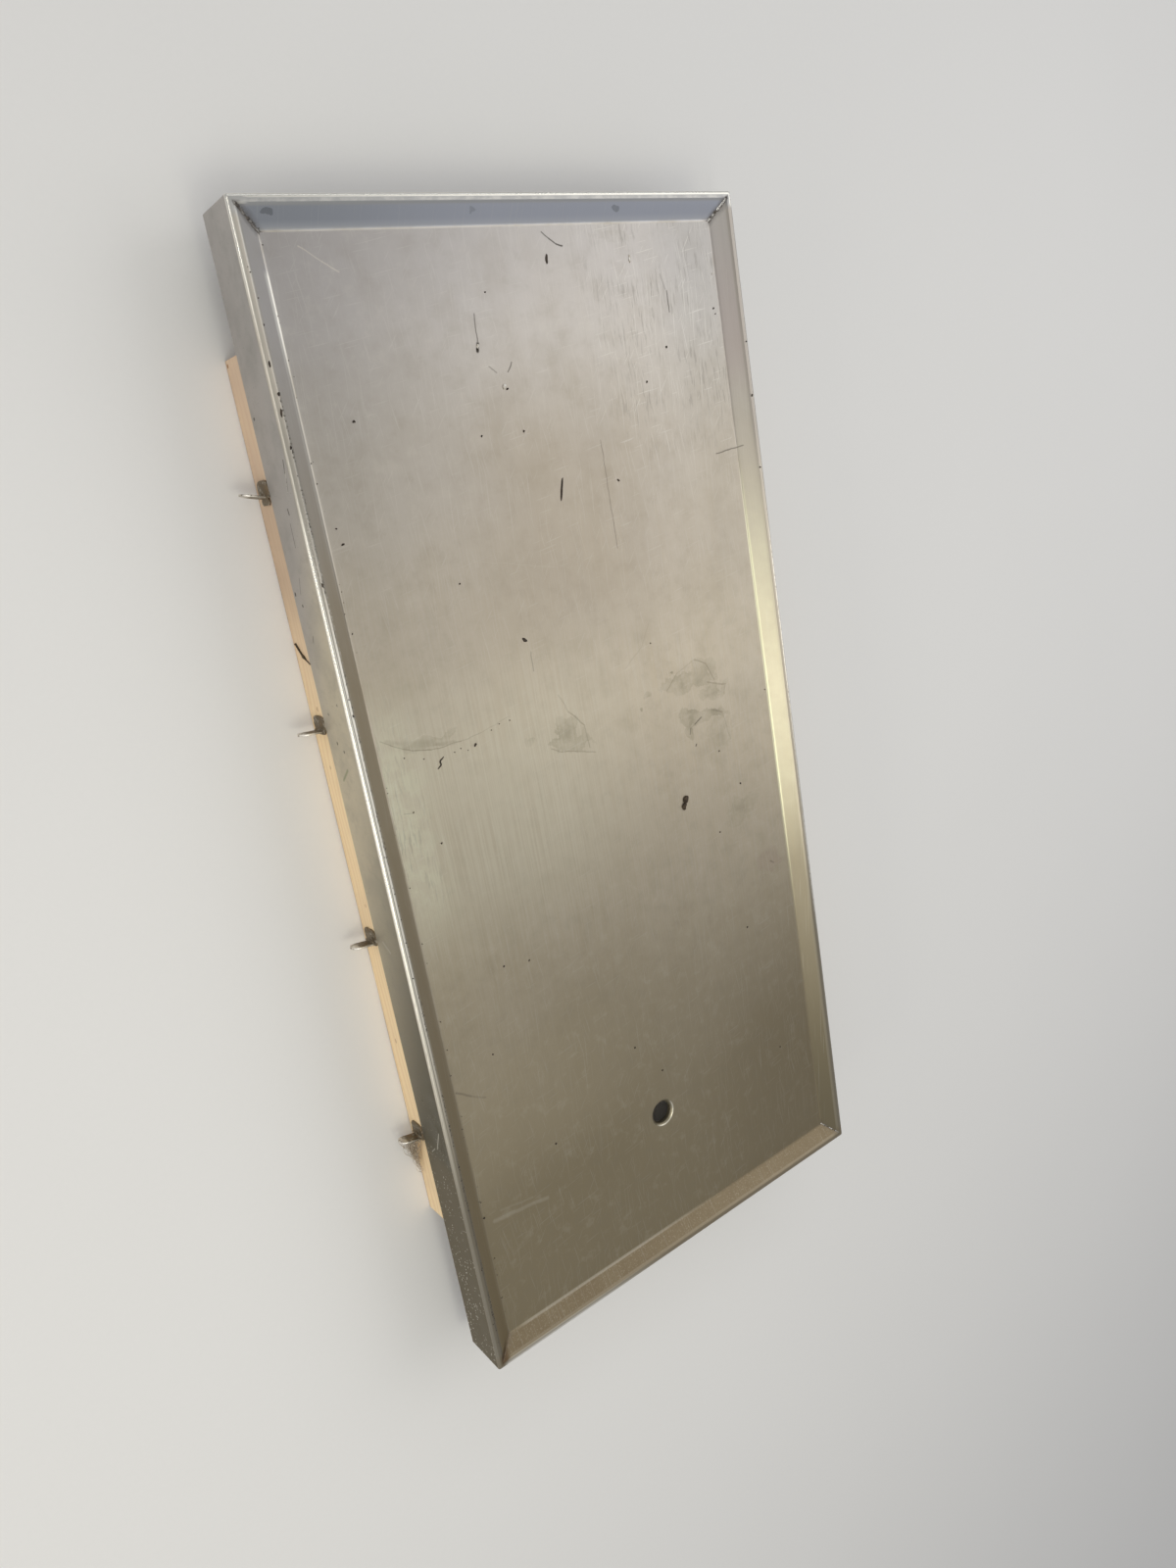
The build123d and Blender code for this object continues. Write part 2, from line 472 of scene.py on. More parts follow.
# shades: where they grow, as (measure, nothing, all) or (measure, middle, reach, core), strength and colour
steelShades = {
    "ground": [
        ([("drift", 0.10, -0.26), ("y", 0.15, 0.60)], 0.5, (0.29, 0.275, 0.26)),
        ([("blot", 0.46, 0.72)], 0.15, (0.27, 0.24, 0.18)),
        ([("blot", 0.46, 0.28)], 0.10, (0.68, 0.65, 0.56)),
    ],
    "pan": [
        ([("y", 0.58, 0.72), ("x", 0.30, -0.05)], 0.22, (0.27, 0.265, 0.26)),
        ([("y", 0.46, 0.68)], 0.16, (0.46, 0.42, 0.44)),
        ([("x", 0.05, -0.15), ("y", -0.39, 0.14, 0.03)], 0.17, (0.56, 0.48, 0.34)),
        ([("x", 0.0, 0.26), ("y", -0.20, -0.50)], 0.26, (0.17, 0.135, 0.085)),
    ],
    # painted reflection: bluish, darker to the left, with a painted highlight above the bend
    "farSlope": [
        ([], 0.8, (0.46, 0.487, 0.56)),
        ([("x", -0.02, -0.34)], 0.42, (0.17, 0.185, 0.185)),
        ([("inset", 0.0225, 0.0320)], 0.34, (0.66, 0.66, 0.66)),
    ],
    # painted shade: darker and browner towards the near end, lighter and greyer at the far end
    "leftSlope": [
        ([("y", 0.60, 0.15)], 0.46, (0.28, 0.21, 0.105)),
        ([("y", 0.42, 0.62)], 0.34, (0.68, 0.645, 0.61)),
    ],
    # painted reflection, pinkish at the far end, and painted shade, darker towards the near end
    "rightSlope": [
        ([("y", 0.46, 0.54), ("y", 0.76, 0.58)], 0.38, (0.46, 0.375, 0.37)),
        ([("y", 0.12, -0.26)], 0.42, (0.15, 0.133, 0.09)),
        ([("y", -0.42, -0.70)], 0.34, (0.10, 0.085, 0.055)),
    ],
    "nearSlope": [([("speck", 0.55, 0.68)], 0.30, (0.46, 0.40, 0.30))],
    "rim": [
        ([], 0.6, (0.52, 0.47, 0.38)),
        ([leftRim, ("y", -0.28, -0.50)], 0.66, (0.13, 0.11, 0.075)),
        ([rightRim, ("y", -0.16, -0.36)], 0.58, (0.15, 0.13, 0.09)),
        ([rightRim, ("y", 0.32, 0.45)], 0.45, (0.30, 0.275, 0.265)),
        ([leftRim, ("y", 0.43, 0.14, 0.04)], 0.50, (0.27, 0.255, 0.225)),
        ([farRim], 0.70, (0.40, 0.41, 0.42)),
        ([nearRim], 0.62, (0.22, 0.17, 0.10)),
    ],
    # painted shade that dulls the bend lines
    "bend": [
        ([leftSide, ("y", 0.62, 0.55), ("y", 0.15, 0.35)], 0.45, (0.25, 0.225, 0.185)),
        ([rightSide, ("y", 0.40, 0.47)], 0.16, (0.25, 0.22, 0.21)),
        ([("y", -0.69, -0.70), ("x", 0.0, 0.12)], 0.30, (0.16, 0.125, 0.08)),
    ],
    "apron": [
        ([("mottle", 0.42, 0.70)], 0.22, (0.26, 0.255, 0.235)),
        ([("blot", 0.50, 0.72)], 0.16, (0.24, 0.225, 0.195)),
    ],
    "under": [
        ([("mottle", 0.35, 0.7)], 0.5, (0.22, 0.20, 0.17)),
        ([("blot", 0.55, 0.68)], 0.4, (0.34, 0.31, 0.27)),
    ],
}


def scratchSet(kit, flat, turn, spread, length, least):
    # long thin scratches that lie at one angle, few where least is high
    values = {"Vector": flat, "Angle": math.radians(turn)}
    x, y = kit.split(kit.node("ShaderNodeVectorRotate", {"rotation_type": "Z_AXIS"}, values))[:2]
    return kit.grain(x * spread, y * length).ramp(least, least + 0.05)


class SteelGround:
    # the sheet's own colour and brushing, with a film that is dirt and painted shade, the same in every
    # zone of the tray
    def __init__(self, kit):
        self.kit = kit
        self.place = kit.place()
        self.x, self.y, self.z = kit.split(self.place)
        self.facing = kit.facing()
        self.up = self.facing[2].ramp(0.4, 0.8)
        self.flat = kit.vector("MULTIPLY", self.place, (1.0, 1.0, 0.0))
        # brushing runs along the sheet, so down the two end aprons
        endFace = abs(self.facing[1]).ramp(0.3, 0.5)
        across = self.x + self.z * (1 - endFace)
        along = self.y + self.z
        self.fine = kit.grain(across * 1700.0, along * 16.0)
        self.coarse = kit.grain(across * 420.0, along * 6.0, 2.0)
        wide = kit.grain(across * 34.0, along * 1.6)
        self.cloud = kit.noise(self.place, 3.1, 2.0, 0.55)
        self.drift = self.x + self.cloud * 0.1
        self.mottle = kit.noise(self.place, 17.0, 4.0, 0.6)
        self.blot = kit.noise(self.place, 52.0, 4.0, 0.62)
        self.speck = kit.noise(self.place, 420.0, 2.0, 0.6)
        # darker towards the near end: a dirt film and painted shade
        self.filmAndShade = (self.y + self.cloud * 0.4).ramp(0.25, -0.42)
        cooler = (self.y + self.cloud * 0.5).ramp(0.3, 1.0)
        self.colour = kit.mix(cooler, steelTones["warm"], steelTones["cool"])
        self.mark(self.coarse.ramp(0.3, 0.75) * 0.15, "streak")
        self.mark(wide.ramp(0.35, 0.7) * 0.05, "filmAndShade")
        self.mark(self.mottle.ramp(0.45, 0.75) * 0.16, "filmAndShade")
        self.mark(self.filmAndShade, "filmAndShade")

    def tint(self, amount, colour):
        self.colour = self.kit.mix(amount, self.colour, colour)

    def mark(self, amount, tone):
        self.tint(amount, steelTones[tone])

    def within(self, amount, spans):
        for measure, *limits in spans:
            wire = getattr(self, measure)
            amount = amount * (wire.ramp(*limits) if len(limits) == 2 else wire.around(*limits))
        return amount

    def shade(self, name, amount=1.0):
        for spans, strength, colour in steelShades[name]:
            self.tint(self.within(amount, spans) * strength, colour)

    def warped(self, reach):
        # places shifted by a wandering amount, so that marks have uneven edges
        values = {"Vector": self.place, "Scale": 38.0, "Detail": 3.0}
        warp = self.kit.node("ShaderNodeTexNoise", None, values, "Color")
        warp = self.kit.vector("SUBTRACT", warp, (0.5, 0.5, 0.5))
        return self.kit.vector("MULTIPLY_ADD", warp, (reach, reach, 0.0), self.flat)

    def sockets(self, dull, polish=0.0, extra=0.0, strength=0.35):
        roughness = steelLook["roughness"] + self.coarse * 0.07 + self.mottle * 0.05
        return {
            "Base Color": self.colour,
            "Metallic": 1.0 - self.filmAndShade * 0.12 - dull * 0.6,
            "Roughness": roughness + self.filmAndShade * 0.05 + dull * 0.2 + extra - polish * 0.15,
            "Normal": self.kit.bump(self.fine + self.coarse * 0.6, strength, steelLook["grainDepth"]),
        }


def paintPan(kit):
    # the flat floor of the pan, with all its marks
    ground = SteelGround(kit)
    x, y, mottle, blot = ground.x, ground.y, ground.mottle, ground.blot
    ground.shade("ground")
    middle = y.around(0.36, 0.26, 0.06) * (0.10 + x.ramp(-0.28, 0.0) * (0.20 + x.ramp(0.22, 0.06) * 0.18))
    ground.mark(middle, "panMiddle")
    right = x.ramp(0.16, 0.30) * (y.ramp(-0.05, 0.10) * 0.14 + y.ramp(0.44, 0.66) * 0.36)
    ground.mark(right, "panRight")
    ground.shade("pan")
    # painted highlight over the left of the floor, streaked with the brushing
    leftHighlight = x.ramp(0.14, -0.14) * y.around(0.02, 0.24, 0.05)
    ground.mark(leftHighlight * (0.28 + ground.coarse.ramp(0.3, 0.7) * 0.22), "panHighlight")

    # smears, tide marks and single strokes
    loose = ground.warped(steelLook["loose"])
    tight = ground.warped(steelLook["tight"])
    smear = patchMask(kit, loose, steelLook["smears"], (blot - 0.5) * 2.8 + (mottle - 0.5) * 0.8)
    smear = smear * (0.4 + blot.ramp(0.35, 0.7) * 0.8)
    ground.mark(smear * 0.68, "smear")
    ground.mark(strokeMask(kit, tight, steelLook["tideStrokes"]), "tide")
    ground.mark(patchMask(kit, loose, steelLook["blushes"], (blot - 0.5) * 1.2), "blush")
    darkMark = strokeMask(kit, tight, steelLook["darkStrokes"] + steelLook["runOnStrokes"])
    ground.mark(darkMark, "dark")
    ground.mark(strokeMask(kit, tight, steelLook["lightStrokes"]), "lightMark")

    # scratches of use: long ones near the grain, short ones crossing it
    scratches = scratchSet(kit, ground.flat, *steelLook["longScratches"])
    for values in steelLook["shortScratches"]:
        scratches = kit.most(scratches, scratchSet(kit, ground.flat, *values))
    leftRubbed = x.ramp(-0.24, -0.30) * y.ramp(-0.14, -0.03) * y.ramp(0.24, 0.09)
    farRubbed = x.ramp(0.05, 0.16) * y.ramp(0.36, 0.50)
    rubbed = kit.most(leftRubbed, farRubbed)
    ground.mark(scratches * (0.35 + rubbed * 0.65) * 0.35, "scratch")
    ground.mark(leftRubbed * (0.10 + blot.ramp(0.35, 0.65) * 0.42), "rubbed")
    darkLines = scratchSet(kit, tight, *steelLook["darkScratches"]) * kit.most(farRubbed, leftRubbed * 0.7)
    ground.mark(darkLines * mottle.ramp(0.35, 0.6) * 0.38, "darkScratch")

    # painted shade inside the drain's collar, lighter on its right side, and a painted highlight on the
    # lip's far right side
    fromDrain = kit.vector("DISTANCE", ground.flat, (0.0, drain["place"], 0.0), output=1)
    rightOfDrain = x - y + drain["place"]
    ground.mark(fromDrain.ramp(0.0212, 0.0200) * 0.9, "drainCollarShade")
    ground.mark(fromDrain.ramp(0.0195, 0.0180) * rightOfDrain.ramp(-0.004, 0.012) * 0.8, "drainSide")
    # painted highlight on the lip
    lip = fromDrain.ramp(0.0212, 0.0204) * ground.facing[2].ramp(0.80, 0.93)
    lip = lip * rightOfDrain.ramp(-0.004, 0.016)
    ground.mark(lip * 0.85, "drainLipHighlight")
    return ground.sockets(darkMark, lip, smear * 0.08)


def paintEdge(kit):
    # slopes, bends and flat rim
    ground = SteelGround(kit)
    x, y, up, mottle, blot, speck = ground.x, ground.y, ground.up, ground.mottle, ground.blot, ground.speck
    facing = ground.facing
    absX = abs(x)
    absY = abs(y)
    inset = kit.maths("MINIMUM", trayHigh.x - absX, trayHigh.y - absY)
    ground.inset = inset        # for the shades
    left, right, far, near = [ground.within(1.0, [rim]) for rim in (leftRim, rightRim, farRim, nearRim)]

    farSlope = facing[1].ramp(-0.2, -0.45) * up
    # painted reflection and painted highlight on the far slope
    ground.shade("farSlope", farSlope)
    loose = ground.warped(steelLook["loose"])
    farMarks = patchMask(kit, loose, steelLook["farMarks"], (blot - 0.5) * 1.2)
    ground.mark(farMarks * farSlope, "farMark")
    # painted shade on the left slope
    ground.shade("leftSlope", facing[0].ramp(0.2, 0.45) * up)
    rightSlope = facing[0].ramp(-0.2, -0.45) * up
    # painted highlight: a pale band down the middle of the right slope
    rightSlopeHighlight = rightSlope * y.ramp(0.42, 0.24) * y.ramp(-0.26, -0.06)
    ground.mark(rightSlopeHighlight * (0.12 + blot * 0.5), "rightSlope")
    ground.shade("rightSlope", rightSlope)
    nearSlope = facing[1].ramp(0.2, 0.45) * up
    ground.mark(nearSlope * (0.20 + mottle * 0.45 + blot * 0.45), "nearSlope")
    ground.shade("nearSlope", nearSlope)

    # marks that run on from the pan's floor
    strokes = strokeMask(kit, ground.warped(steelLook["tight"]), steelLook["runOnStrokes"]) * up
    ground.mark(strokes, "dark")
    ground.mark(scratchSet(kit, ground.flat, *steelLook["longScratches"]) * 0.12, "scratch")
    # darker in the bend at the slope's foot: dirt film and painted shade
    floorBend = inset.around(*edgeBands["floorBend"]) * up
    ground.mark(floorBend * mottle.ramp(0.4, 0.7) * 0.35, "filmAndShade")

    # the rim is rubbed smooth, and its colour changes along each side
    onRim = inset.ramp(*edgeBands["rim"])
    ground.coarse = ground.coarse * (1 - onRim) + onRim * 0.5
    ground.shade("rim", onRim)

    # painted highlights on the rim, side by side
    # the painted highlight on the left rim is weaker round y = 0.52
    worn = y.around(0.52, 0.17, 0.07)
    leftRimHighlight = left * (0.12 + y.ramp(-0.52, 0.06) * 0.88) * (1 - worn * (0.60 + mottle * 0.3))
    nearRimHighlight = near * x.ramp(-0.02, -0.22) * x.ramp(-0.344, -0.332) * 0.85
    rightHighlight = right * (0.10 + y.ramp(-0.38, -0.27) * y.ramp(0.34, 0.22) * 0.85) * speck.ramp(0.36, 0.50)
    endRimHighlight = kit.most(far * 0.95, nearRimHighlight, rightHighlight)

    # and the painted highlights lie in lines: along the arris, over the flat, at its inner edge and in
    # single flecks
    outerLine = (inset + left * y.ramp(0.25, 0.45) * 0.0013).ramp(*edgeBands["outerLine"])
    onFlat = inset.ramp(*edgeBands["rimFlat"])
    flatHighlight = onFlat * (0.12 + y.ramp(-0.42, -0.22) * y.ramp(0.37, 0.22) * 0.88)
    innerLine = (inset + (mottle - 0.5) * 0.001).around(*edgeBands["innerLine"]) * y.ramp(0.34, 0.42) * 0.7
    highlightFlecks = inset.ramp(*edgeBands["highlightFlecks"]) * speck.ramp(0.52, 0.60) * 0.5
    highlightFlecks = highlightFlecks * y.ramp(0.06, 0.16) * y.ramp(0.50, 0.36)
    leftLines = kit.most(outerLine, flatHighlight, innerLine, highlightFlecks)
    endFlat = onFlat * (far * blot.ramp(0.42, 0.62) * 0.25 + near * 0.40)
    rimHighlight = kit.most(leftRimHighlight * leftLines, endRimHighlight * kit.most(outerLine, endFlat))
    rimHighlight = rimHighlight * facing[2].ramp(0.08, 0.3)

    # the bend at the slope's foot: painted shade that dulls it first, then painted highlights
    bendLine = inset.around(*edgeBands["bendLine"]) * up
    ground.shade("bend", bendLine)
    leftBendHighlight = 0.03 + y.ramp(0.24, 0.46) * 0.22 + y.ramp(0.54, 0.62) * 0.66
    leftBendHighlight = ground.within(leftBendHighlight * inset.around(*edgeBands["leftBendHighlight"]), [leftSide, ("y", 0.668, 0.658)]) * up
    nearBend = y.ramp(-0.69, -0.70) * x.ramp(0.10, -0.10) * x.ramp(-0.312, -0.28) * 0.22
    endBendHighlight = kit.most(nearBend, y.ramp(0.69, 0.70) * 0.10) * bendLine
    paintedHighlight = kit.most(rimHighlight, leftBendHighlight, endBendHighlight)
    ground.mark(paintedHighlight * 0.88, "paintedHighlight")
    rightBendHighlight = ground.within(bendLine, [rightSide, ("y", -0.34, -0.04), ("y", 0.42, 0.24)])
    ground.mark(rightBendHighlight * 0.75, "rightHighlight")

    # painted shade line on the left rim, between its painted highlights, and crust in the bend beside it
    shadeLine = (inset + (mottle - 0.5) * 0.0012).around(*edgeBands["shadeLine"]) * left
    ground.mark(shadeLine * y.ramp(-0.48, -0.25) * y.ramp(0.42, 0.30) * up * 0.70, "shadeLine")
    crust = speck.ramp(0.52, 0.62) * kit.noise(ground.place, 24.0, 2.0).ramp(0.42, 0.56)
    crust = crust * inset.around(*edgeBands["rimBend"]) * left * up * y.ramp(0.62, 0.50)
    ground.mark(crust * 0.85, "dark")

    # heat and soot by the corner welds
    mitre = abs(absX - absY + (trayHigh.y - trayHigh.x))
    corner = inset.ramp(0.040, 0.034) * inset.ramp(0.005, 0.008) * up
    farEnd = y.ramp(-0.2, 0.2)
    ragged = mitre + (blot - 0.5) * 0.016
    ground.mark(ragged.ramp(0.0120, 0.0020) * corner * (0.15 + farEnd * 0.35), "heat")
    nearLeft = left * y.ramp(-0.66, -0.68)
    ground.mark(ragged.ramp(0.0170, 0.0050) * corner * nearLeft * 0.8, "scorch")
    soot = (mitre + (speck - 0.5) * 0.009).ramp(0.0042, 0.0022) * corner * (0.08 + farEnd * 0.82)
    soot = soot * blot.ramp(0.30, 0.5)
    ground.mark(soot * 0.8, "dark")
    return ground.sockets(kit.most(strokes, soot), paintedHighlight * outerLine, 0.0, 0.35 * (1 - onRim))


def paintApron(kit):
    # the left apron's tone is painted reflection and shade: dark towards the near end, pale in the middle,
    # bluish at the far end; it is dusty by the drain
    ground = SteelGround(kit)
    y, z, mottle, blot, speck = ground.y, ground.z, ground.mottle, ground.blot, ground.speck
    leftApron = ground.x.ramp(-0.3470, -0.3490) * ground.facing[0].ramp(-0.5, -0.8)
    lean = y + (0.078 - z) * 2.2 + (ground.cloud - 0.5) * 0.12
    tone = kit.mix(lean.ramp(-0.42, 0.16), steelTones["apronNearShade"], steelTones["apronMiddleLight"])
    ground.tint(leftApron * 0.92, kit.mix(lean.ramp(0.17, 0.40), tone, steelTones["apronFarReflection"]))
    ground.shade("apron", leftApron)
    dusty = (y + z * 0.25 + mottle * 0.02).ramp(-0.375, -0.392) * leftApron
    ground.mark(dusty * (0.60 + blot * 0.30), "dust")
    cells = kit.node("ShaderNodeTexVoronoi", None, {"Vector": ground.place, "Scale": 210.0}, "Distance")
    bits = cells.ramp(0.26, 0.14) * kit.noise(ground.place, 55.0, 2.0).ramp(0.42, 0.54)
    bits = bits * leftApron * y.ramp(-0.25, -0.60)
    ground.mark(bits * 0.9, "dustBit")
    side = kit.join(y, z)
    rubs = kit.most(strokeMask(kit, side, steelLook["apronRubs"]), speck.ramp(0.67, 0.73) * 0.45)
    crumbs = patchMask(kit, side, steelLook["apronCrumbs"])
    ground.mark(kit.most(rubs, crumbs) * leftApron, "dark")
    ground.mark(strokeMask(kit, side, steelLook["apronPale"]) * leftApron, "paleRub")
    ground.mark(strokeMask(kit, side, steelLook["apronGreen"]) * leftApron, "green")
    return ground.sockets(kit.most(dusty * 0.9, bits), 0.0, leftApron * 0.13)


def paintUnder(kit):
    # the hidden side: dull, with old drips
    ground = SteelGround(kit)
    ground.shade("under")
    return ground.sockets(ground.mottle * 0.4, 0.0, 0.12, 0.2)


# pan floor, folded edge, aprons and hidden side, in the order of the tray's zones
steelZones = {"pan": paintPan, "edge": paintEdge, "apron": paintApron, "under": paintUnder}
zoneOrder = list(steelZones)
zoneSteel = [makeMaterial(f"{zone}Steel", paint) for zone, paint in steelZones.items()]
print("steel finishes made")


def leftOf(heading):
    return Vector((-math.sin(heading), math.cos(heading)))


def foldedLine(corners, radii, steps, longest):
    # a line with rounded corners as (point, normal on its left)
    line = [Vector(corner) for corner in corners]
    headings = [math.atan2(b.y - a.y, b.x - a.x) for a, b in zip(line, line[1:])]
    found = [(line[0], leftOf(headings[0]))]
    for index, heading in enumerate(headings):
        target = line[index + 1]
        turn = 0.0
        if index < len(radii):
            turn = headings[index + 1] - heading
            back = radii[index] * math.tan(abs(turn) / 2)
            target = target - Vector((math.cos(heading), math.sin(heading))) * back
        start = found[-1][0]
        parts = max(1, math.ceil((target - start).length / longest))
        for part in range(1, parts + 1):
            found.append((start.lerp(target, part / parts), leftOf(heading)))
        if turn:
            bend = math.copysign(radii[index], turn)
            centre = target + leftOf(heading) * bend
            for step in range(1, steps + 1):
                normal = leftOf(heading + turn * step / steps)
                found.append((centre - normal * bend, normal))
    return found


def bothSkins(line, thickness):
    # out along the face that shows and back along the hidden one
    hidden = [point - normal * thickness for point, normal in line]
    return [point for point, normal in line] + hidden[::-1]


def sideStations(half, count):
    close = [-half + step * mm for step in tray["nearCorner"]]
    inner = -close[-1]
    middle = [-inner + 2 * inner * part / count for part in range(1, count)]
    return close + middle + [-value for value in reversed(close)]


def ringPoints(halfX, halfY, radius, countX, countY):
    # anticlockwise round a rectangle with rounded corners, from the right side's lower end
    points = []
    for side in range(4):
        outward = Vector((round(math.cos(side * math.pi / 2)), round(math.sin(side * math.pi / 2))))
        along = Vector((-outward.y, outward.x))
        out, half, count = (halfX, halfY, countY) if side % 2 == 0 else (halfY, halfX, countX)
        half -= radius
        points += [outward * out + along * step for step in sideStations(half, count)]
        centre = outward * (out - radius) + along * half
        for step in range(1, tray["cornerSteps"]):
            angle = math.pi / 2 * step / tray["cornerSteps"]
            points.append(centre + (outward * math.cos(angle) + along * math.sin(angle)) * radius)
    return points


def walkRound(lowI, lowJ, highI, highJ):
    # places of a grid anticlockwise round a block, side by side, from the right side's lower end
    return [
        [(highI, j) for j in range(lowJ, highJ + 1)],
        [(i, highJ) for i in range(highI, lowI - 1, -1)],
        [(lowI, j) for j in range(highJ, lowJ - 1, -1)],
        [(i, lowJ) for i in range(lowI, highI + 1)],
    ]


flatStart = -(slopeInset + 2 * tray["floorBend"])
foldedEdge = foldedLine(
    [(flatStart, panFloor), (-slopeInset, panFloor), (-tray["rimWidth"], rimTop), (0.0, rimTop),
     (0.0, trayLow.z)],
    [tray["floorBend"], tray["rimBend"], tray["arrisRadius"]],
    tray["bendSteps"], tray["longest"])


def trayWave(x, y):
    # the wide floor is never quite flat; still at its edges and round the drain
    edge = min(trayHigh.x - slopeInset - abs(x), trayHigh.y - slopeInset - abs(y))
    still = min(1.0, max(0.0, edge / 0.07))
    still *= min(1.0, max(0.0, (math.hypot(x, y - drain["place"]) - 0.04) / 0.12))
    still = still * still * (3 - 2 * still)
    return tray["wave"] * still * noise.noise(Vector((x * 4.2 + 3.0, y * 3.0, 0.7)))


def buildTray():
    points = []
    faces = []
    zones = []
    countX = round(2 * trayHigh.x / tray["gridStep"])
    countY = round(2 * trayHigh.y / tray["gridStep"])

    def addPoint(x, y, z):
        points.append((x, y, z + trayWave(x, y)))
        return len(points) - 1

    def addFace(corners, zone):
        faces.append(corners)
        zones.append(zoneOrder.index(zone))

    def joinRings(first, second, zone):
        total = len(first)
        for index in range(total):
            onward = (index + 1) % total
            addFace((first[index], first[onward], second[onward], second[index]), zone)

    rings = []
    for inset, height in bothSkins(foldedEdge, tray["sheet"]):
        outer = min(1.0, max(0.0, 1 + inset / tray["rimWidth"]))
        radius = tray["innerCorner"] + (tray["outerCorner"] - tray["innerCorner"]) * outer
        ring = ringPoints(trayHigh.x + inset, trayHigh.y + inset, radius, countX, countY)
        rings.append([addPoint(point.x, point.y, height) for point in ring])
    flatPoints = [spot for spot, normal in foldedEdge if spot.x < -slopeInset and spot.y - panFloor < 1e-6]
    for index, (first, second) in enumerate(zip(rings, rings[1:])):
        zone = "under"
        if index < len(flatPoints) - 1:
            zone = "pan"
        elif index < len(foldedEdge) - 1:
            zone = "edge" if foldedEdge[index][1].y > 0.01 else "apron"
        joinRings(first, second, zone)

    collar = foldedLine(
        [(-drain["flat"], panFloor), (-drain["hole"], panFloor),
         (-drain["hole"], panFloor - drain["collar"])],
        [drain["lip"]], drain["lipSteps"], drain["longest"])
    xs = sideStations(trayHigh.x + flatStart - tray["innerCorner"], countX)
    ys = sideStations(trayHigh.y + flatStart - tray["innerCorner"], countY)
    reach = drain["flat"] + drain["clear"]
    lowI = max(i for i, x in enumerate(xs) if x < -reach)
    highI = min(i for i, x in enumerate(xs) if x > reach)
    lowJ = max(j for j, y in enumerate(ys) if y < drain["place"] - reach)
    highJ = min(j for j, y in enumerate(ys) if y > drain["place"] + reach)
    patch = [place for side in walkRound(lowI, lowJ, highI, highJ) for place in side[:-1]]
    angles = [math.atan2(ys[j] - drain["place"], xs[i]) for i, j in patch]
    turns = []
    for angle, onward in zip(angles, angles[1:] + angles[:1]):
        step = (onward - angle) % (2 * math.pi)
        turns += [angle + step * part / drain["split"] for part in range(drain["split"])]

    def addCircle(radius, height):
        found = []
        for turn in turns:
            y = drain["place"] + radius * math.sin(turn)
            found.append(addPoint(radius * math.cos(turn), y, height))
        return found

    holes = []
    for ring, height, zone in ((rings[0], panFloor, "pan"), (rings[-1], panFloor - tray["sheet"], "under")):
        grid = {}
        for i, x in enumerate(xs):
            for j, y in enumerate(ys):
                if not (lowI < i < highI and lowJ < j < highJ):
                    grid[i, j] = addPoint(x, y, height)
        for i in range(len(xs) - 1):
            for j in range(len(ys) - 1):
                if not (lowI <= i < highI and lowJ <= j < highJ):
                    addFace((grid[i, j], grid[i + 1, j], grid[i + 1, j + 1], grid[i, j + 1]), zone)
        start = 0
        for places in walkRound(0, 0, len(xs) - 1, len(ys) - 1):
            side = [grid[place] for place in places]
            ringSide = ring[start:start + len(side)]
            for first in range(len(side) - 1):
                addFace((side[first], side[first + 1], ringSide[first + 1], ringSide[first]), zone)
            stop = start + len(side) + tray["cornerSteps"] - 1
            around = ring[start + len(side) - 1:stop] + [ring[stop % len(ring)]]
            for first, second in zip(around, around[1:]):
                addFace((side[-1], first, second), zone)
            start = stop
        circle = addCircle(drain["flat"], height)
        for index, cell in enumerate(patch):
            onward = grid[patch[(index + 1) % len(patch)]]
            steps = range(drain["split"], -1, -1)
            inner = [circle[(index * drain["split"] + step) % len(circle)] for step in steps]
            addFace((grid[cell], onward, *inner), zone)
        holes.append(circle)
    collarRings = [holes[0]]
    for inset, height in bothSkins(collar, tray["sheet"])[1:-1]:
        collarRings.append(addCircle(-inset, height))
    collarRings.append(holes[1])
    for index, (first, second) in enumerate(zip(collarRings, collarRings[1:])):
        joinRings(first, second, "pan" if index < len(collar) - 1 else "under")
    piece = makePiece("folded_tray", points, faces, zoneSteel)
    piece.data.polygons.foreach_set("material_index", zones)
    return piece


foldedTray = buildTray()
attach(foldedTray, "root")
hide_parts("steel_tray")
print("tray folded,", len(foldedTray.data.polygons), "faces")

# weld beads in the four mitres
welds = {
    "side": 1.5 * mm,
    "rise": 0.75 * mm,
    "sunk": 0.25 * mm,
    "step": 0.7 * mm,
    "ripple": 2.1 * mm,
    "round": 8,
    "pastSlope": 4.0 * mm,      # how far the bead runs on at its two ends
    "pastRim": 1.5 * mm,
    "farSize": 1.2,
    "nearSize": 0.7,
    "burnt": (0.13, 0.115, 0.10),
    "bright": (0.78, 0.76, 0.72),
    "pits": (0.035, 0.028, 0.022),
    # the near left weld is darker: dust, and painted shade that dulls it
    "dusty": (0.20, 0.145, 0.09),       # the near left corner
}


def spacedRoute(points, step):
    # the same line with points a fixed step apart
    lengths = [0.0]
    for first, second in zip(points, points[1:]):
        lengths.append(lengths[-1] + (second - first).length)
    count = max(2, round(lengths[-1] / step))
    route = []
    index = 0
    for part in range(count + 1):
        want = lengths[-1] * part / count
        while index < len(points) - 2 and lengths[index + 1] < want:
            index += 1
        share = (want - lengths[index]) / max(lengths[index + 1] - lengths[index], 1e-9)
        route.append(points[index].lerp(points[index + 1], share))
    return route


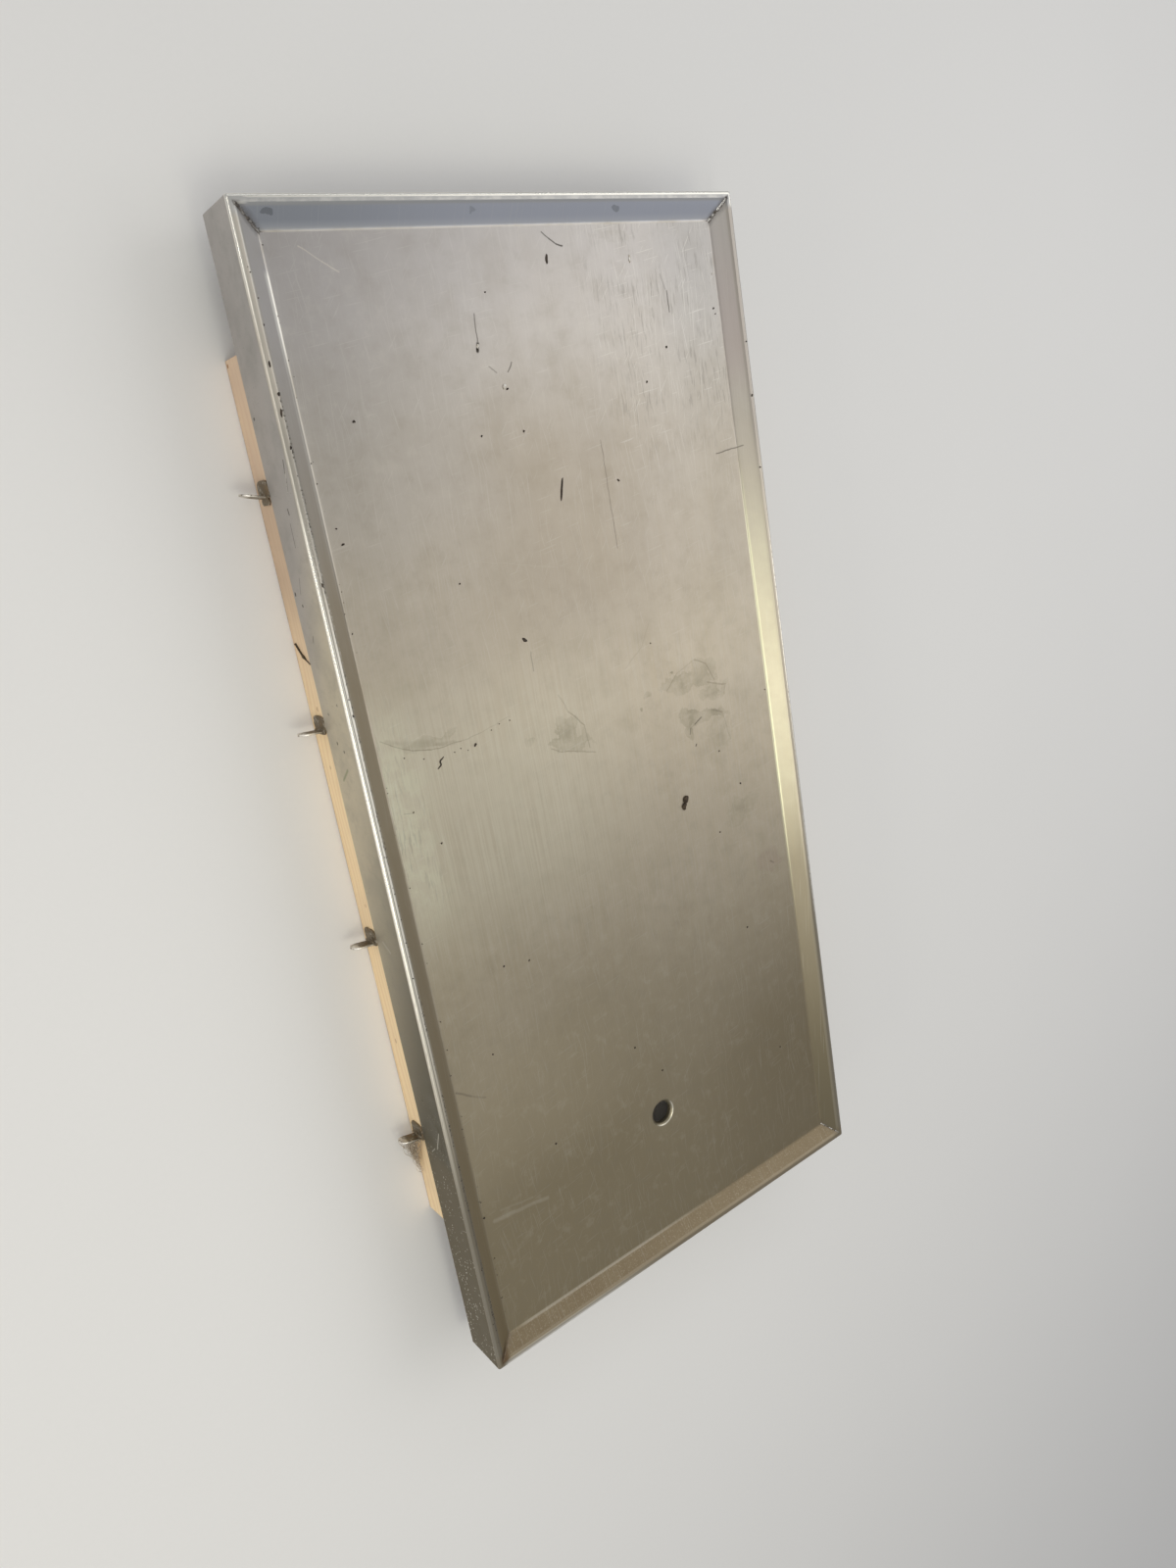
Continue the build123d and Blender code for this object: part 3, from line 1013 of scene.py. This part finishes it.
def addTube(points, faces, route, upward, section, sides):
    # a closed tube along the route; section gives its half width, half height and lift at each point
    rows = []
    for index, centre in enumerate(route):
        ahead = route[min(index + 1, len(route) - 1)] - route[max(index - 1, 0)]
        across = ahead.cross(upward).normalized()
        rise = across.cross(ahead).normalized()
        wide, high, lift = section(index)
        row = []
        for step in range(sides):
            angle = 2 * math.pi * step / sides
            point = centre + across * (wide * math.cos(angle)) + rise * (high * math.sin(angle) + lift)
            row.append(len(points))
            points.append(tuple(point))
        rows.append(row)
    joinRows(faces, rows)


def paintWeld(kit):
    place = kit.place()
    grit = kit.noise(place, 700.0, 3.0, 0.6)
    cloud = kit.noise(place, 120.0, 2.0)
    x, y = kit.split(place)[:2]
    bright = cloud.ramp(0.38, 0.58) * (0.35 + x.ramp(-0.1, 0.1) * 0.65)
    # the near left weld is darkened: dust, and painted shade
    nearLeft = x.ramp(0.1, -0.1) * y.ramp(0.1, -0.1)
    return {
        "Base Color": kit.layers(
            welds["burnt"], (bright, welds["bright"]), (grit.ramp(0.5, 0.6) * 0.7, welds["pits"]),
            (nearLeft * 0.85, welds["dusty"])),
        "Metallic": 0.85,
        "Roughness": 0.38 + grit * 0.3,
        "Normal": kit.bump(grit, 0.5, 0.1 * mm),
    }


def buildWelds():
    points = []
    faces = []
    inward = tray["innerCorner"] * (1 - math.sqrt(0.5))
    first = -slopeInset - welds["pastSlope"]
    last = -tray["rimWidth"] + welds["pastRim"]
    seam = [spot for spot, normal in foldedEdge if first < spot.x < last]
    for corner, (signX, signY) in enumerate(((-1, 1), (1, 1), (-1, -1), (1, -1))):
        strong = welds["farSize"] if signY > 0 else welds["nearSize"]
        line = []
        for spot in seam:
            reach = spot.x - inward
            line.append(Vector((signX * (trayHigh.x + reach), signY * (trayHigh.y + reach), spot.y)))
        route = spacedRoute(line, welds["step"])
        upward = Vector((-signX * 0.25, -signY * 0.25, 1.0)).normalized()

        def section(index):
            taper = min(1.0, (index + 1) / 5, (len(route) - index) / 5)
            ripple = math.sin(index * welds["step"] / welds["ripple"] * 2 * math.pi)
            rough = noise.noise(Vector((index * 0.21, corner * 5.0, 1.0)))
            size = strong * taper * (1 + 0.16 * ripple + 0.8 * rough)
            return welds["side"] * size, welds["rise"] * size, -welds["sunk"]

        addTube(points, faces, route, upward, section, welds["round"])
    return makePiece("corner_welds", points, faces, [makeMaterial("cornerWeld", paintWeld)], 60.0)


cornerWelds = buildWelds()
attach(cornerWelds, "root")
print("corner welds laid")

# battens keep their solids, so they only get their finish
pineLook = {
    "early": (0.95, 0.73, 0.44),
    "late": (0.83, 0.57, 0.32),
    "pale": (0.97, 0.81, 0.555),
    "weathered": (0.62, 0.46, 0.31),
    "farEnd": (0.60, 0.435, 0.33),
    "shaded": (0.44, 0.31, 0.21),
    "knot": (0.34, 0.17, 0.07),
    "endGrain": (0.50, 0.33, 0.17),
    "arris": (0.20, 0.12, 0.06),
    "heartDepth": 30.0 * mm,        # how far the end grain's rings are centred below the batten
    # knots on the outer faces: distance along, height, half width and half height in mm, strength
    "knots": [
        (193, 27, 3.5, 2.4, 0.5), (119, 24, 3, 2, 0.5), (-64, 30, 3, 2, 0.35), (-260, 22, 4, 2.6, 0.4),
        (430, 70, 8, 7, 0.7), (-300, 68, 9, 7, 0.7), (589, 6, 2.4, 2.2, 0.95),
    ],
}


def paintPine(kit):
    place = kit.place()
    x, y, z = kit.split(place)
    outer = abs(x)
    wander = kit.noise(kit.join(x * 8.0, y * 1.9, z * 8.0), 1.0, 3.0)
    knots = patchMask(kit, kit.join(y, z), pineLook["knots"], (wander - 0.5) * 0.8)
    knots = knots * outer.ramp(0.33, 0.345)
    rings = kit.maths("SINE", z * 520.0 + outer * 240.0 + wander * 42.0 + knots * 9.0)
    fibre = kit.noise(kit.join(x * 1300.0, y * 14.0, z * 1300.0), 1.0, 2.0)
    grey = kit.noise(place, 14.0, 3.0)
    # the end grain is darker, and the sawn arris next to the tray is darker too
    fromHeart = kit.vector("LENGTH", kit.join(outer, z + pineLook["heartDepth"]), output=1)
    endRings = kit.maths("SINE", fromHeart * 1900.0 + wander * 8.0)
    endGrain = abs(kit.facing()[1]).ramp(0.5, 0.8)
    foot = z.ramp(0.0045, 0.0) * fibre.ramp(0.35, 0.55)
    colour = kit.layers(
        pineLook["early"],
        (rings.ramp(-0.2, 1.0) * 0.55, pineLook["late"]),
        (fibre.ramp(0.4, 0.75) * 0.4, pineLook["pale"]),
        (grey.ramp(0.45, 0.75) * 0.2, pineLook["weathered"]),
        (y.ramp(0.12, 0.42) * (0.45 + grey * 0.45), pineLook["farEnd"]),
        (y.around(0.37, 0.12, 0.02) * (0.20 + grey * 0.5), pineLook["shaded"]),
        (knots, pineLook["knot"]),
        (endGrain * (0.35 + endRings * 0.25), pineLook["endGrain"]),
        (foot * 0.8, pineLook["arris"]),
    )
    bump = kit.bump(fibre + rings * 0.15, 0.4, 0.3 * mm)
    return {"Base Color": colour, "Roughness": 0.62 + fibre * 0.2, "Normal": bump}


pineTimber = makeMaterial("pineTimber", paintPine)
for name in ("left_batten", "right_batten"):
    dressNode(name, pineTimber)
print("battens dressed")

# bent lugs, with worn rounded edges
lugLook = {
    "skin": (0.175, 0.142, 0.092),
    "rust": (0.205, 0.136, 0.070),
    "bare": (0.62, 0.58, 0.51),
    # the bright edges: rubbed metal and painted highlight
    "edge": (0.92, 0.88, 0.80),
    "pit": (0.07, 0.055, 0.04),
}
lug = {
    "thickness": 2.5 * mm,
    "bend": 2.0 * mm,
    "leafWidth": 32.0 * mm,
    "leafRound": 8.0 * mm,
    "leafLength": 20.0 * mm,
    "tongueWidth": 20.0 * mm,
    "tongueLength": 32.0 * mm,
    "tipGap": 0.5 * mm,
    "edgeRound": 0.7 * mm,
    "leastWidth": 0.6 * mm,
    "wander": 0.35 * mm,        # how far the outline wanders
    "dents": 0.12 * mm,
    "leafParts": 12,
    "bendParts": 8,
    "tongueParts": 24,
    "leans": {1: 12.0, 2: 4.0, 3: 6.0, 4: 9.0},      # degrees towards the far end
    "heels": {1: 8.0 * mm, 2: 3.0 * mm},        # how far the leaf runs on past the tongue
    "heelStart": 3.0 * mm,
    "heelParts": 8,
    "heelSides": 16,
}


def paintLug(kit):
    place = kit.place()
    cloud = kit.noise(place, 90.0, 4.0, 0.6)
    grit = kit.noise(place, 900.0, 2.0)
    worn = kit.noise(place, 260.0, 3.0, 0.6)
    rust = cloud.ramp(0.45, 0.68)
    bare = worn.ramp(0.50, 0.62) * cloud.ramp(0.60, 0.42)
    # the upper edge and the tip are rubbed bright, and the faces turned up also get a painted highlight
    fromMiddle = abs(kit.split(place)[0])
    edge = kit.facing()[2].ramp(0.35, 0.75) * worn.ramp(0.25, 0.45)
    edge = edge * (0.25 + fromMiddle.ramp(0.358, 0.368) * 0.75) * fromMiddle.ramp(0.3515, 0.3535)
    edge = kit.most(edge, fromMiddle.ramp(0.366, 0.376) * worn.ramp(0.30, 0.55) * 0.8)
    return {
        "Base Color": kit.layers(
            lugLook["skin"], (rust * 0.7, lugLook["rust"]), (bare * 0.6, lugLook["bare"]),
            (grit.ramp(0.6, 0.7) * 0.6, lugLook["pit"]), (edge, lugLook["edge"])),
        "Metallic": 0.75 - rust * 0.5,
        "Roughness": 0.42 + rust * 0.25 - edge * 0.12,
        "Normal": kit.bump(grit * 0.6 + worn, 0.5, 0.3 * mm),
    }


darkSteel = makeMaterial("darkSteel", paintLug)


def lugHalfWidth(fromLeafEnd, fromTongueEnd):
    # half the strip's width, from the distances along it to its two ends
    if fromLeafEnd < lug["leafLength"]:
        half = lug["leafWidth"] / 2
        corner = lug["leafRound"]
        if fromLeafEnd < corner:
            half -= corner - math.sqrt(max(corner ** 2 - (corner - fromLeafEnd) ** 2, 0.0))
        return half
    half = lug["tongueWidth"] / 2
    if fromTongueEnd < half:
        half = math.sqrt(max(half ** 2 - (half - fromTongueEnd) ** 2, 0.0))
    return half


def lugPath(number):
    # the strip's middle line seen from above, as distances out from the batten and along it, with normals
    lean = math.radians(lug["leans"][number])
    half = lug["thickness"] / 2
    middleBend = lug["bend"] + half
    turn = math.pi / 2 - lean
    tangent = middleBend * math.tan(turn / 2)
    corner = Vector((half, half / math.cos(lean) + half * math.tan(lean)))
    leafEnd = Vector((half, lug["leafLength"]))
    bendStart = corner + Vector((0.0, tangent))
    path = []
    for part in range(lug["leafParts"] + 1):
        path.append((leafEnd.lerp(bendStart, part / lug["leafParts"]), Vector((1.0, 0.0))))
    centre = corner + Vector((middleBend, tangent))
    for step in range(1, lug["bendParts"] + 1):
        swing = math.pi + turn * step / lug["bendParts"]
        arm = Vector((math.cos(swing), math.sin(swing)))
        path.append((centre + arm * middleBend, -arm))
    outward = Vector((math.cos(lean), math.sin(lean)))
    normal = Vector((-math.sin(lean), math.cos(lean)))
    tongueStart = path[-1][0]
    tongueEnd = outward * (lug["tongueLength"] - lug["tipGap"]) + normal * half
    for part in range(1, lug["tongueParts"] + 1):
        share = 1 - (1 - part / lug["tongueParts"]) ** 1.7      # closer together at the rounded tip
        path.append((tongueStart.lerp(tongueEnd, share), normal))
    return path


def lugRow(spot, normal, wide, thick, seed):
    # one section across the strip, with rounded edges, as (out, along, height)
    rounding = lug["edgeRound"]
    row = []
    for turn, (signWide, signThick) in enumerate(((1, 1), (-1, 1), (-1, -1), (1, -1))):
        for step in range(4):
            angle = math.pi / 2 * (turn + step / 3)
            across = signWide * (wide - min(rounding, wide * 0.8)) + rounding * math.cos(angle)
            deep = signThick * (thick - rounding) + rounding * math.sin(angle)
            if deep > 0:
                deep += lug["dents"] * noise.noise(Vector((across * 140, *seed)))
            flat = spot + normal * deep
            row.append((flat.x, flat.y, across))
    return row


def heelRows(heel):
    # the piece of leaf on the other side of the tongue
    half = lug["thickness"] / 2
    rows = []
    for part in range(lug["heelParts"] + 1):
        share = part / lug["heelParts"]
        along = lug["heelStart"] * share - heel * (1 - share)
        wide = lug["leafWidth"] / 2 * (0.60 + 0.16 * math.sin(math.pi * min(1.0, share + 0.25)))
        wide -= 2.5 * mm * max(0.0, 0.3 - share) / 0.3
        row = []
        for step in range(lug["heelSides"]):
            angle = 2 * math.pi * (step + 0.5) / lug["heelSides"]
            across = math.copysign(min(1.0, abs(math.cos(angle)) * 1.3), math.cos(angle)) * wide
            deep = half + math.copysign(min(1.0, abs(math.sin(angle)) * 1.3), math.sin(angle)) * half * 0.9
            row.append((deep, along, across))
        rows.append(row)
    return rows


def buildLug(number, side):
    name = f"{'left' if side < 0 else 'right'}_lug_{number}"
    low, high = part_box(name)
    back = high.x if side < 0 else low.x        # the face against the batten
    middle = (low.z + high.z) / 2
    path = lugPath(number)
    lengths = [0.0]
    for first, second in zip(path, path[1:]):
        lengths.append(lengths[-1] + (second[0] - first[0]).length)
    strip = []
    for index, (spot, normal) in enumerate(path):
        wide = max(lugHalfWidth(lengths[index], lengths[-1] - lengths[index]), lug["leastWidth"])
        wide += lug["wander"] * noise.noise(Vector((index * 0.35, number * 7.0, side)))
        thick = lug["thickness"] / 2
        if index in (0, len(path) - 1):
            thick -= lug["edgeRound"] * 0.6
        strip.append(lugRow(spot, normal, wide, thick, (lengths[index] * 140, number + 4.0 * side)))
    sheets = [strip]
    if number in lug["heels"]:
        sheets.append(heelRows(lug["heels"][number]))
    points = []
    faces = []
    for sheet in sheets:
        rows = []
        for row in sheet:
            rows.append(range(len(points), len(points) + len(row)))
            points += [(back + side * out, low.y + along, middle + height) for out, along, height in row]
        joinRows(faces, rows)
    piece = makePiece(f"{name}_bent", points, faces, [darkSteel], 50.0)
    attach(piece, "root")
    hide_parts(name)


for number in lug["leans"]:
    for side in (-1, 1):
        buildLug(number, side)
print("lugs bent")

# dirt stuck to the tray: x, y, length, width, height in mm from its middle, and turn in degrees
dirt = {
    "dark": [
        (7.0, 393.5, 31.0, 2.7, 1.3, 74), (42.0, 665.0, 12.0, 3.4, 1.2, 83),
        (-47.5, 521.5, 3.6, 2.4, 1.4, 30), (-88.0, 221.0, 8.0, 4.2, 1.6, -35),
        (-79.6, 568.8, 3.6, 3.4, 1.0, 80), (213.2, 550.2, 3.6, 2.6, 1.0, 70),
        (306.7, 593.2, 3.0, 2.4, 1.0, 10), (309.0, 586.0, 2.6, 1.6, 0.8, 40),
        (171.1, 509.7, 3.4, 2.6, 1.0, 80), (99.1, 392.6, 5.0, 2.4, 1.0, -30),
        (-54.6, 631.7, 2.4, 2.0, 0.8, 0), (-95.7, 471.8, 2.8, 2.4, 0.9, 20),
        (-34.5, 470.4, 3.2, 2.8, 1.0, 40), (-256.7, 506.3, 4.2, 3.0, 0.8, 0),
        (-301.5, 378.1, 4.6, 2.2, 1.0, 20), (-305.3, 396.4, 2.4, 2.0, 0.8, 0),
        (-164.6, 307.2, 2.6, 2.0, 0.8, 50), (-260.7, 4.0, 2.8, 2.4, 0.9, 0),
        (214.7, -298.1, 3.0, 2.4, 0.9, 30), (-210.6, -186.0, 3.2, 2.6, 0.9, 15),
        (-172.0, -193.5, 3.6, 1.6, 0.8, 60), (-252.7, -296.8, 2.6, 2.2, 0.8, 0),
        (-186.9, -469.3, 3.2, 2.8, 1.0, 0), (-316.0, -515.4, 3.4, 2.8, 1.0, 0),
        (-29.3, -392.9, 2.8, 2.4, 0.9, 0), (12.0, -450.5, 2.8, 2.4, 0.9, 0),
        (248.7, -523.5, 2.6, 2.2, 0.8, 0), (-187.2, 110.3, 5.2, 2.8, 1.2, 60),
        (-208.3, 111.6, 1.8, 1.6, 0.6, 0), (-217.6, 109.5, 1.6, 1.5, 0.6, 0),
        (-198.8, 106.6, 1.5, 1.3, 0.6, 0), (-160.9, 122.2, 1.7, 1.5, 0.6, 0),
        (-148.0, 126.7, 1.8, 1.4, 0.6, 0), (-132.0, 127.1, 1.9, 1.6, 0.6, 0),
        (-284.9, 121.3, 1.9, 1.6, 0.6, 0), (-260.0, 113.1, 1.8, 1.6, 0.6, 0),
        (-288.5, 53.5, 2.2, 1.6, 0.7, 30), (207.5, -11.6, 2.4, 2.2, 0.8, 0),
        (187.5, -132.1, 2.6, 2.2, 0.8, 0), (110.7, 171.5, 2.2, 1.9, 0.7, 0),
        (240.0, -71.5, 2.4, 3.4, 0.8, 10), (313.0, 55.0, 2.2, 2.0, 0.7, 0),
    ],
    "brown": [(131.6, -63.0, 12.5, 8.4, 3.8, 58), (127.2, -71.5, 12.0, 7.4, 3.4, 72)],
    "pale": [
        (-51.3, 524.6, 6.8, 4.2, 1.8, 60), (171.6, 661.0, 10.5, 3.2, 1.2, 88),
        (-78.4, 573.0, 5.0, 3.2, 1.2, 80), (312.5, 637.0, 2.8, 2.6, 1.0, 0),
    ],
    # lumps on the rim and in its bend
    "rim": [
        (-344.0, 572.0, 7.0, 2.2, 1.0, 88), (-341.5, 542.0, 4.5, 3.2, 1.2, 80),
        (-343.5, 523.0, 9.0, 2.6, 1.2, 86), (-342.0, 487.0, 4.0, 2.4, 1.0, 90),
        (-342.5, 340.0, 5.0, 2.0, 1.0, 90), (-342.0, 190.0, 3.0, 2.0, 0.9, 90),
        (346.0, 544.6, 2.4, 2.0, 0.8, 0), (344.7, 473.4, 4.2, 2.6, 1.0, 70),
        (343.9, 375.1, 3.0, 2.2, 0.9, 0),
    ],
    "charredTones": ((0.018, 0.013, 0.009), (0.07, 0.05, 0.035)),
    "brownTones": ((0.030, 0.020, 0.012), (0.095, 0.065, 0.036)),
    "paleTones": ((0.52, 0.47, 0.39), (0.95, 0.93, 0.88)),
    "fibreTones": ((0.24, 0.185, 0.125), (0.74, 0.65, 0.52)),
    # grains along the left rim and bend: how many, their size, the share in the rim's bend,
    # and how far out they lie, with their scatter
    "loose": 90,
    "grain": (0.5, 1.3),
    "inRim": 0.55,
    "rimPlace": (341.5, 1.1),
    "bendPlace": (316.0, 1.6),
    "along": (-700.0, 700.0),
}


def paintDirt(dark, pale):
    def paint(kit):
        place = kit.place()
        cloud = kit.noise(place, 260.0, 3.0, 0.6)
        fibre = kit.noise(kit.vector("MULTIPLY", place, (1.0, 0.25, 1.0)), 1400.0, 2.0)
        colour = kit.mix(cloud.ramp(0.35, 0.7), dark, pale)
        bump = kit.bump(cloud + fibre, 0.6, 0.3 * mm)
        return {"Base Color": colour, "Roughness": 0.75 + fibre * 0.2, "Normal": bump}
    return paint


def addLump(points, faces, spot, size, turn, seed):
    # a flattened, knobbly grain; spot is the middle of its foot
    bm = bmesh.new()
    bmesh.ops.create_icosphere(bm, subdivisions=2, radius=1.0)
    cosine = math.cos(math.radians(turn))
    sine = math.sin(math.radians(turn))
    first = len(points)
    for vertex in bm.verts:
        knob = 1 + 0.30 * noise.noise(vertex.co * 1.7 + Vector((seed * 3.1, 0.0, seed)))
        x = vertex.co.x * knob * size[0] / 2
        y = vertex.co.y * knob * size[1] / 2 + 0.10 * size[1] * math.sin(vertex.co.x * 3 + seed)
        z = max(vertex.co.z, -0.45) * knob * size[2] / 1.4 + 0.3 * size[2]
        points.append((spot[0] + x * cosine - y * sine, spot[1] + x * sine + y * cosine, spot[2] + z))
    for face in bm.faces:
        faces.append(tuple(first + vertex.index for vertex in face.verts))
    bm.free()


def layDirt(name, spots, height, material):
    points = []
    faces = []
    for seed, (x, y, length, width, rise, turn) in enumerate(spots):
        spot = (x * mm, y * mm, height(x * mm, y * mm))
        addLump(points, faces, spot, (length * mm, width * mm, rise * mm), turn, seed + 1)
    piece = makePiece(name, points, faces, [material], 80.0)
    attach(piece, "root")
    return piece


def onFloor(x, y):
    return panFloor + trayWave(x, y)


def onSection(x, y):
    # height of the folded section at any place near the tray's sides
    inset = -min(trayHigh.x - abs(x), trayHigh.y - abs(y))
    shown = [spot for spot, normal in foldedEdge if spot.y >= panFloor - 1e-6]
    first = [spot for spot in shown if spot.x <= inset][-1]
    second = [spot for spot in shown if spot.x >= inset][0]
    share = (inset - first.x) / max(second.x - first.x, 1e-9)
    return first.y + (second.y - first.y) * share


def looseGrains():
    random.seed(7)
    found = []
    for index in range(dirt["loose"]):
        size = random.uniform(*dirt["grain"])
        along = random.uniform(*dirt["along"])
        place = "rimPlace" if random.random() < dirt["inRim"] else "bendPlace"
        across = -random.gauss(*dirt[place])
        length = size * random.uniform(1.0, 1.9)
        found.append((across, along, length, size, size * 0.7, random.uniform(0, 180)))
    return found


charred = makeMaterial("charredBits", paintDirt(*dirt["charredTones"]))
brownDirt = makeMaterial("brownDirt", paintDirt(*dirt["brownTones"]))
paleDirt = makeMaterial("paleDirt", paintDirt(*dirt["paleTones"]))
dustFibre = makeMaterial("dustFibre", paintDirt(*dirt["fibreTones"]))
layDirt("charred_bits", dirt["dark"], onFloor, charred)
layDirt("brown_clod", dirt["brown"], onFloor, brownDirt)
layDirt("pale_bits", dirt["pale"], onFloor, paleDirt)
layDirt("rim_dirt", dirt["rim"] + looseGrains(), onSection, charred)

# a twig tucked behind the apron's foot, a curled fibre in the pan and the tuft caught on the last left lug
threads = {
    # x, y and height in mm
    "twig": [
        (-349.4, 273.0, 9.5), (-349.5, 266.0, 17.0), (-349.7, 259.5, 24.0), (-349.5, 254.0, 32.0),
        (-349.3, 249.0, 42.0),
    ],
    "curl": [
        (-233.6, 108.6, 0.5), (-235.6, 106.6, 0.8), (-240.2, 104.4, 1.0), (-238.6, 99.6, 1.0),
        (-241.6, 97.6, 0.9), (-244.6, 95.6, 0.5),
    ],
    "twigRadius": 1.15 * mm,
    "twigKnots": [(0.58, 0.06, 0.8), (0.05, 0.05, 0.5)],        # place along, width and swelling
    "curlRadius": 0.85 * mm,
    "tuftRadius": 0.24 * mm,
    "tuft": 64,                     # how many fibres
    "tuftTop": (6.0, 4.0, 1.0, 8.0, 4.0),       # mm inside the lug's outer, inner, near, low and high sides
    # out from the batten, towards the drain end and up from the floor, in mm
    "tuftFoot": [(0.4, 6.0), (12.0, 68.0), (1.5, 14.0)],
    "tuftSpread": [(-7.0, 2.0), (-5.0, 5.0), (-6.0, 5.0)],
    "tuftGap": 0.3 * mm,            # kept free in front of the batten
}


def smoothed(points, rounds=3):
    # corner cutting, with the ends kept
    for turn in range(rounds):
        cut = [points[0]]
        for first, second in zip(points, points[1:]):
            cut += [first.lerp(second, 0.25), first.lerp(second, 0.75)]
        points = cut + [points[-1]]
    return points


def buildThread(name, route, upward, size, sides, material):
    # one round thread whose radius changes along it
    points = []
    faces = []
    addTube(points, faces, route, upward, lambda index: (size(index), size(index), 0.0), sides)
    piece = makePiece(name, points, faces, [material], 70.0)
    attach(piece, "root")


def buildTwig():
    route = smoothed([Vector(spot) * mm for spot in threads["twig"]])

    def size(index):
        share = index / (len(route) - 1)
        radius = threads["twigRadius"] * (0.55 + 0.45 * math.sin(math.pi * min(1.0, share + 0.2)))
        knots = 1.0
        for place, width, swell in threads["twigKnots"]:
            knots += swell * math.exp(-((share - place) / width) ** 2)
        return radius * knots * (1 + 0.25 * noise.noise(Vector((index * 0.4, 3.0, 0.0))))

    buildThread("tucked_twig", route, Vector((-1.0, 0.0, 0.0)), size, 8, brownDirt)


def buildCurl():
    route = smoothed([Vector((x * mm, y * mm, panFloor + z * mm)) for x, y, z in threads["curl"]])

    def size(index):
        return threads["curlRadius"] * (0.5 + 0.5 * math.sin(math.pi * index / (len(route) - 1)))

    buildThread("curled_fibre", route, Vector((0.0, 0.0, 1.0)), size, 6, charred)


def buildTuft():
    # fibres from the tongue of the last left lug to the batten's face
    random.seed(11)
    low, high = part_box("left_lug_4")
    outer, inner, near, under, over = [gap * mm for gap in threads["tuftTop"]]
    points = []
    faces = []
    for thread in range(threads["tuft"]):
        x = random.uniform(low.x + outer, high.x - inner)
        z = random.uniform(low.z + under, high.z - over)
        start = Vector((x, low.y + near, z))
        out, back, up = [random.uniform(*limits) * mm for limits in threads["tuftFoot"]]
        end = Vector((high.x - out, low.y - back, up))
        line = [start]
        for part in range(1, 5):
            spread = Vector([random.uniform(*limits) * mm for limits in threads["tuftSpread"]])
            line.append(start.lerp(end, part / 5) + spread)
        line.append(end)
        for spot in line:
            spot.x = min(spot.x, high.x - threads["tuftGap"])
        thin = threads["tuftRadius"] * random.uniform(0.7, 1.6)
        route = smoothed(line, 2)
        addTube(points, faces, route, Vector((0.3, 0.2, 1.0)), lambda index: (thin, thin, 0.0), 4)
    piece = makePiece("dust_tuft", points, faces, [dustFibre], 80.0)
    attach(piece, "root")


buildTwig()
buildCurl()
buildTuft()
print("dirt laid")
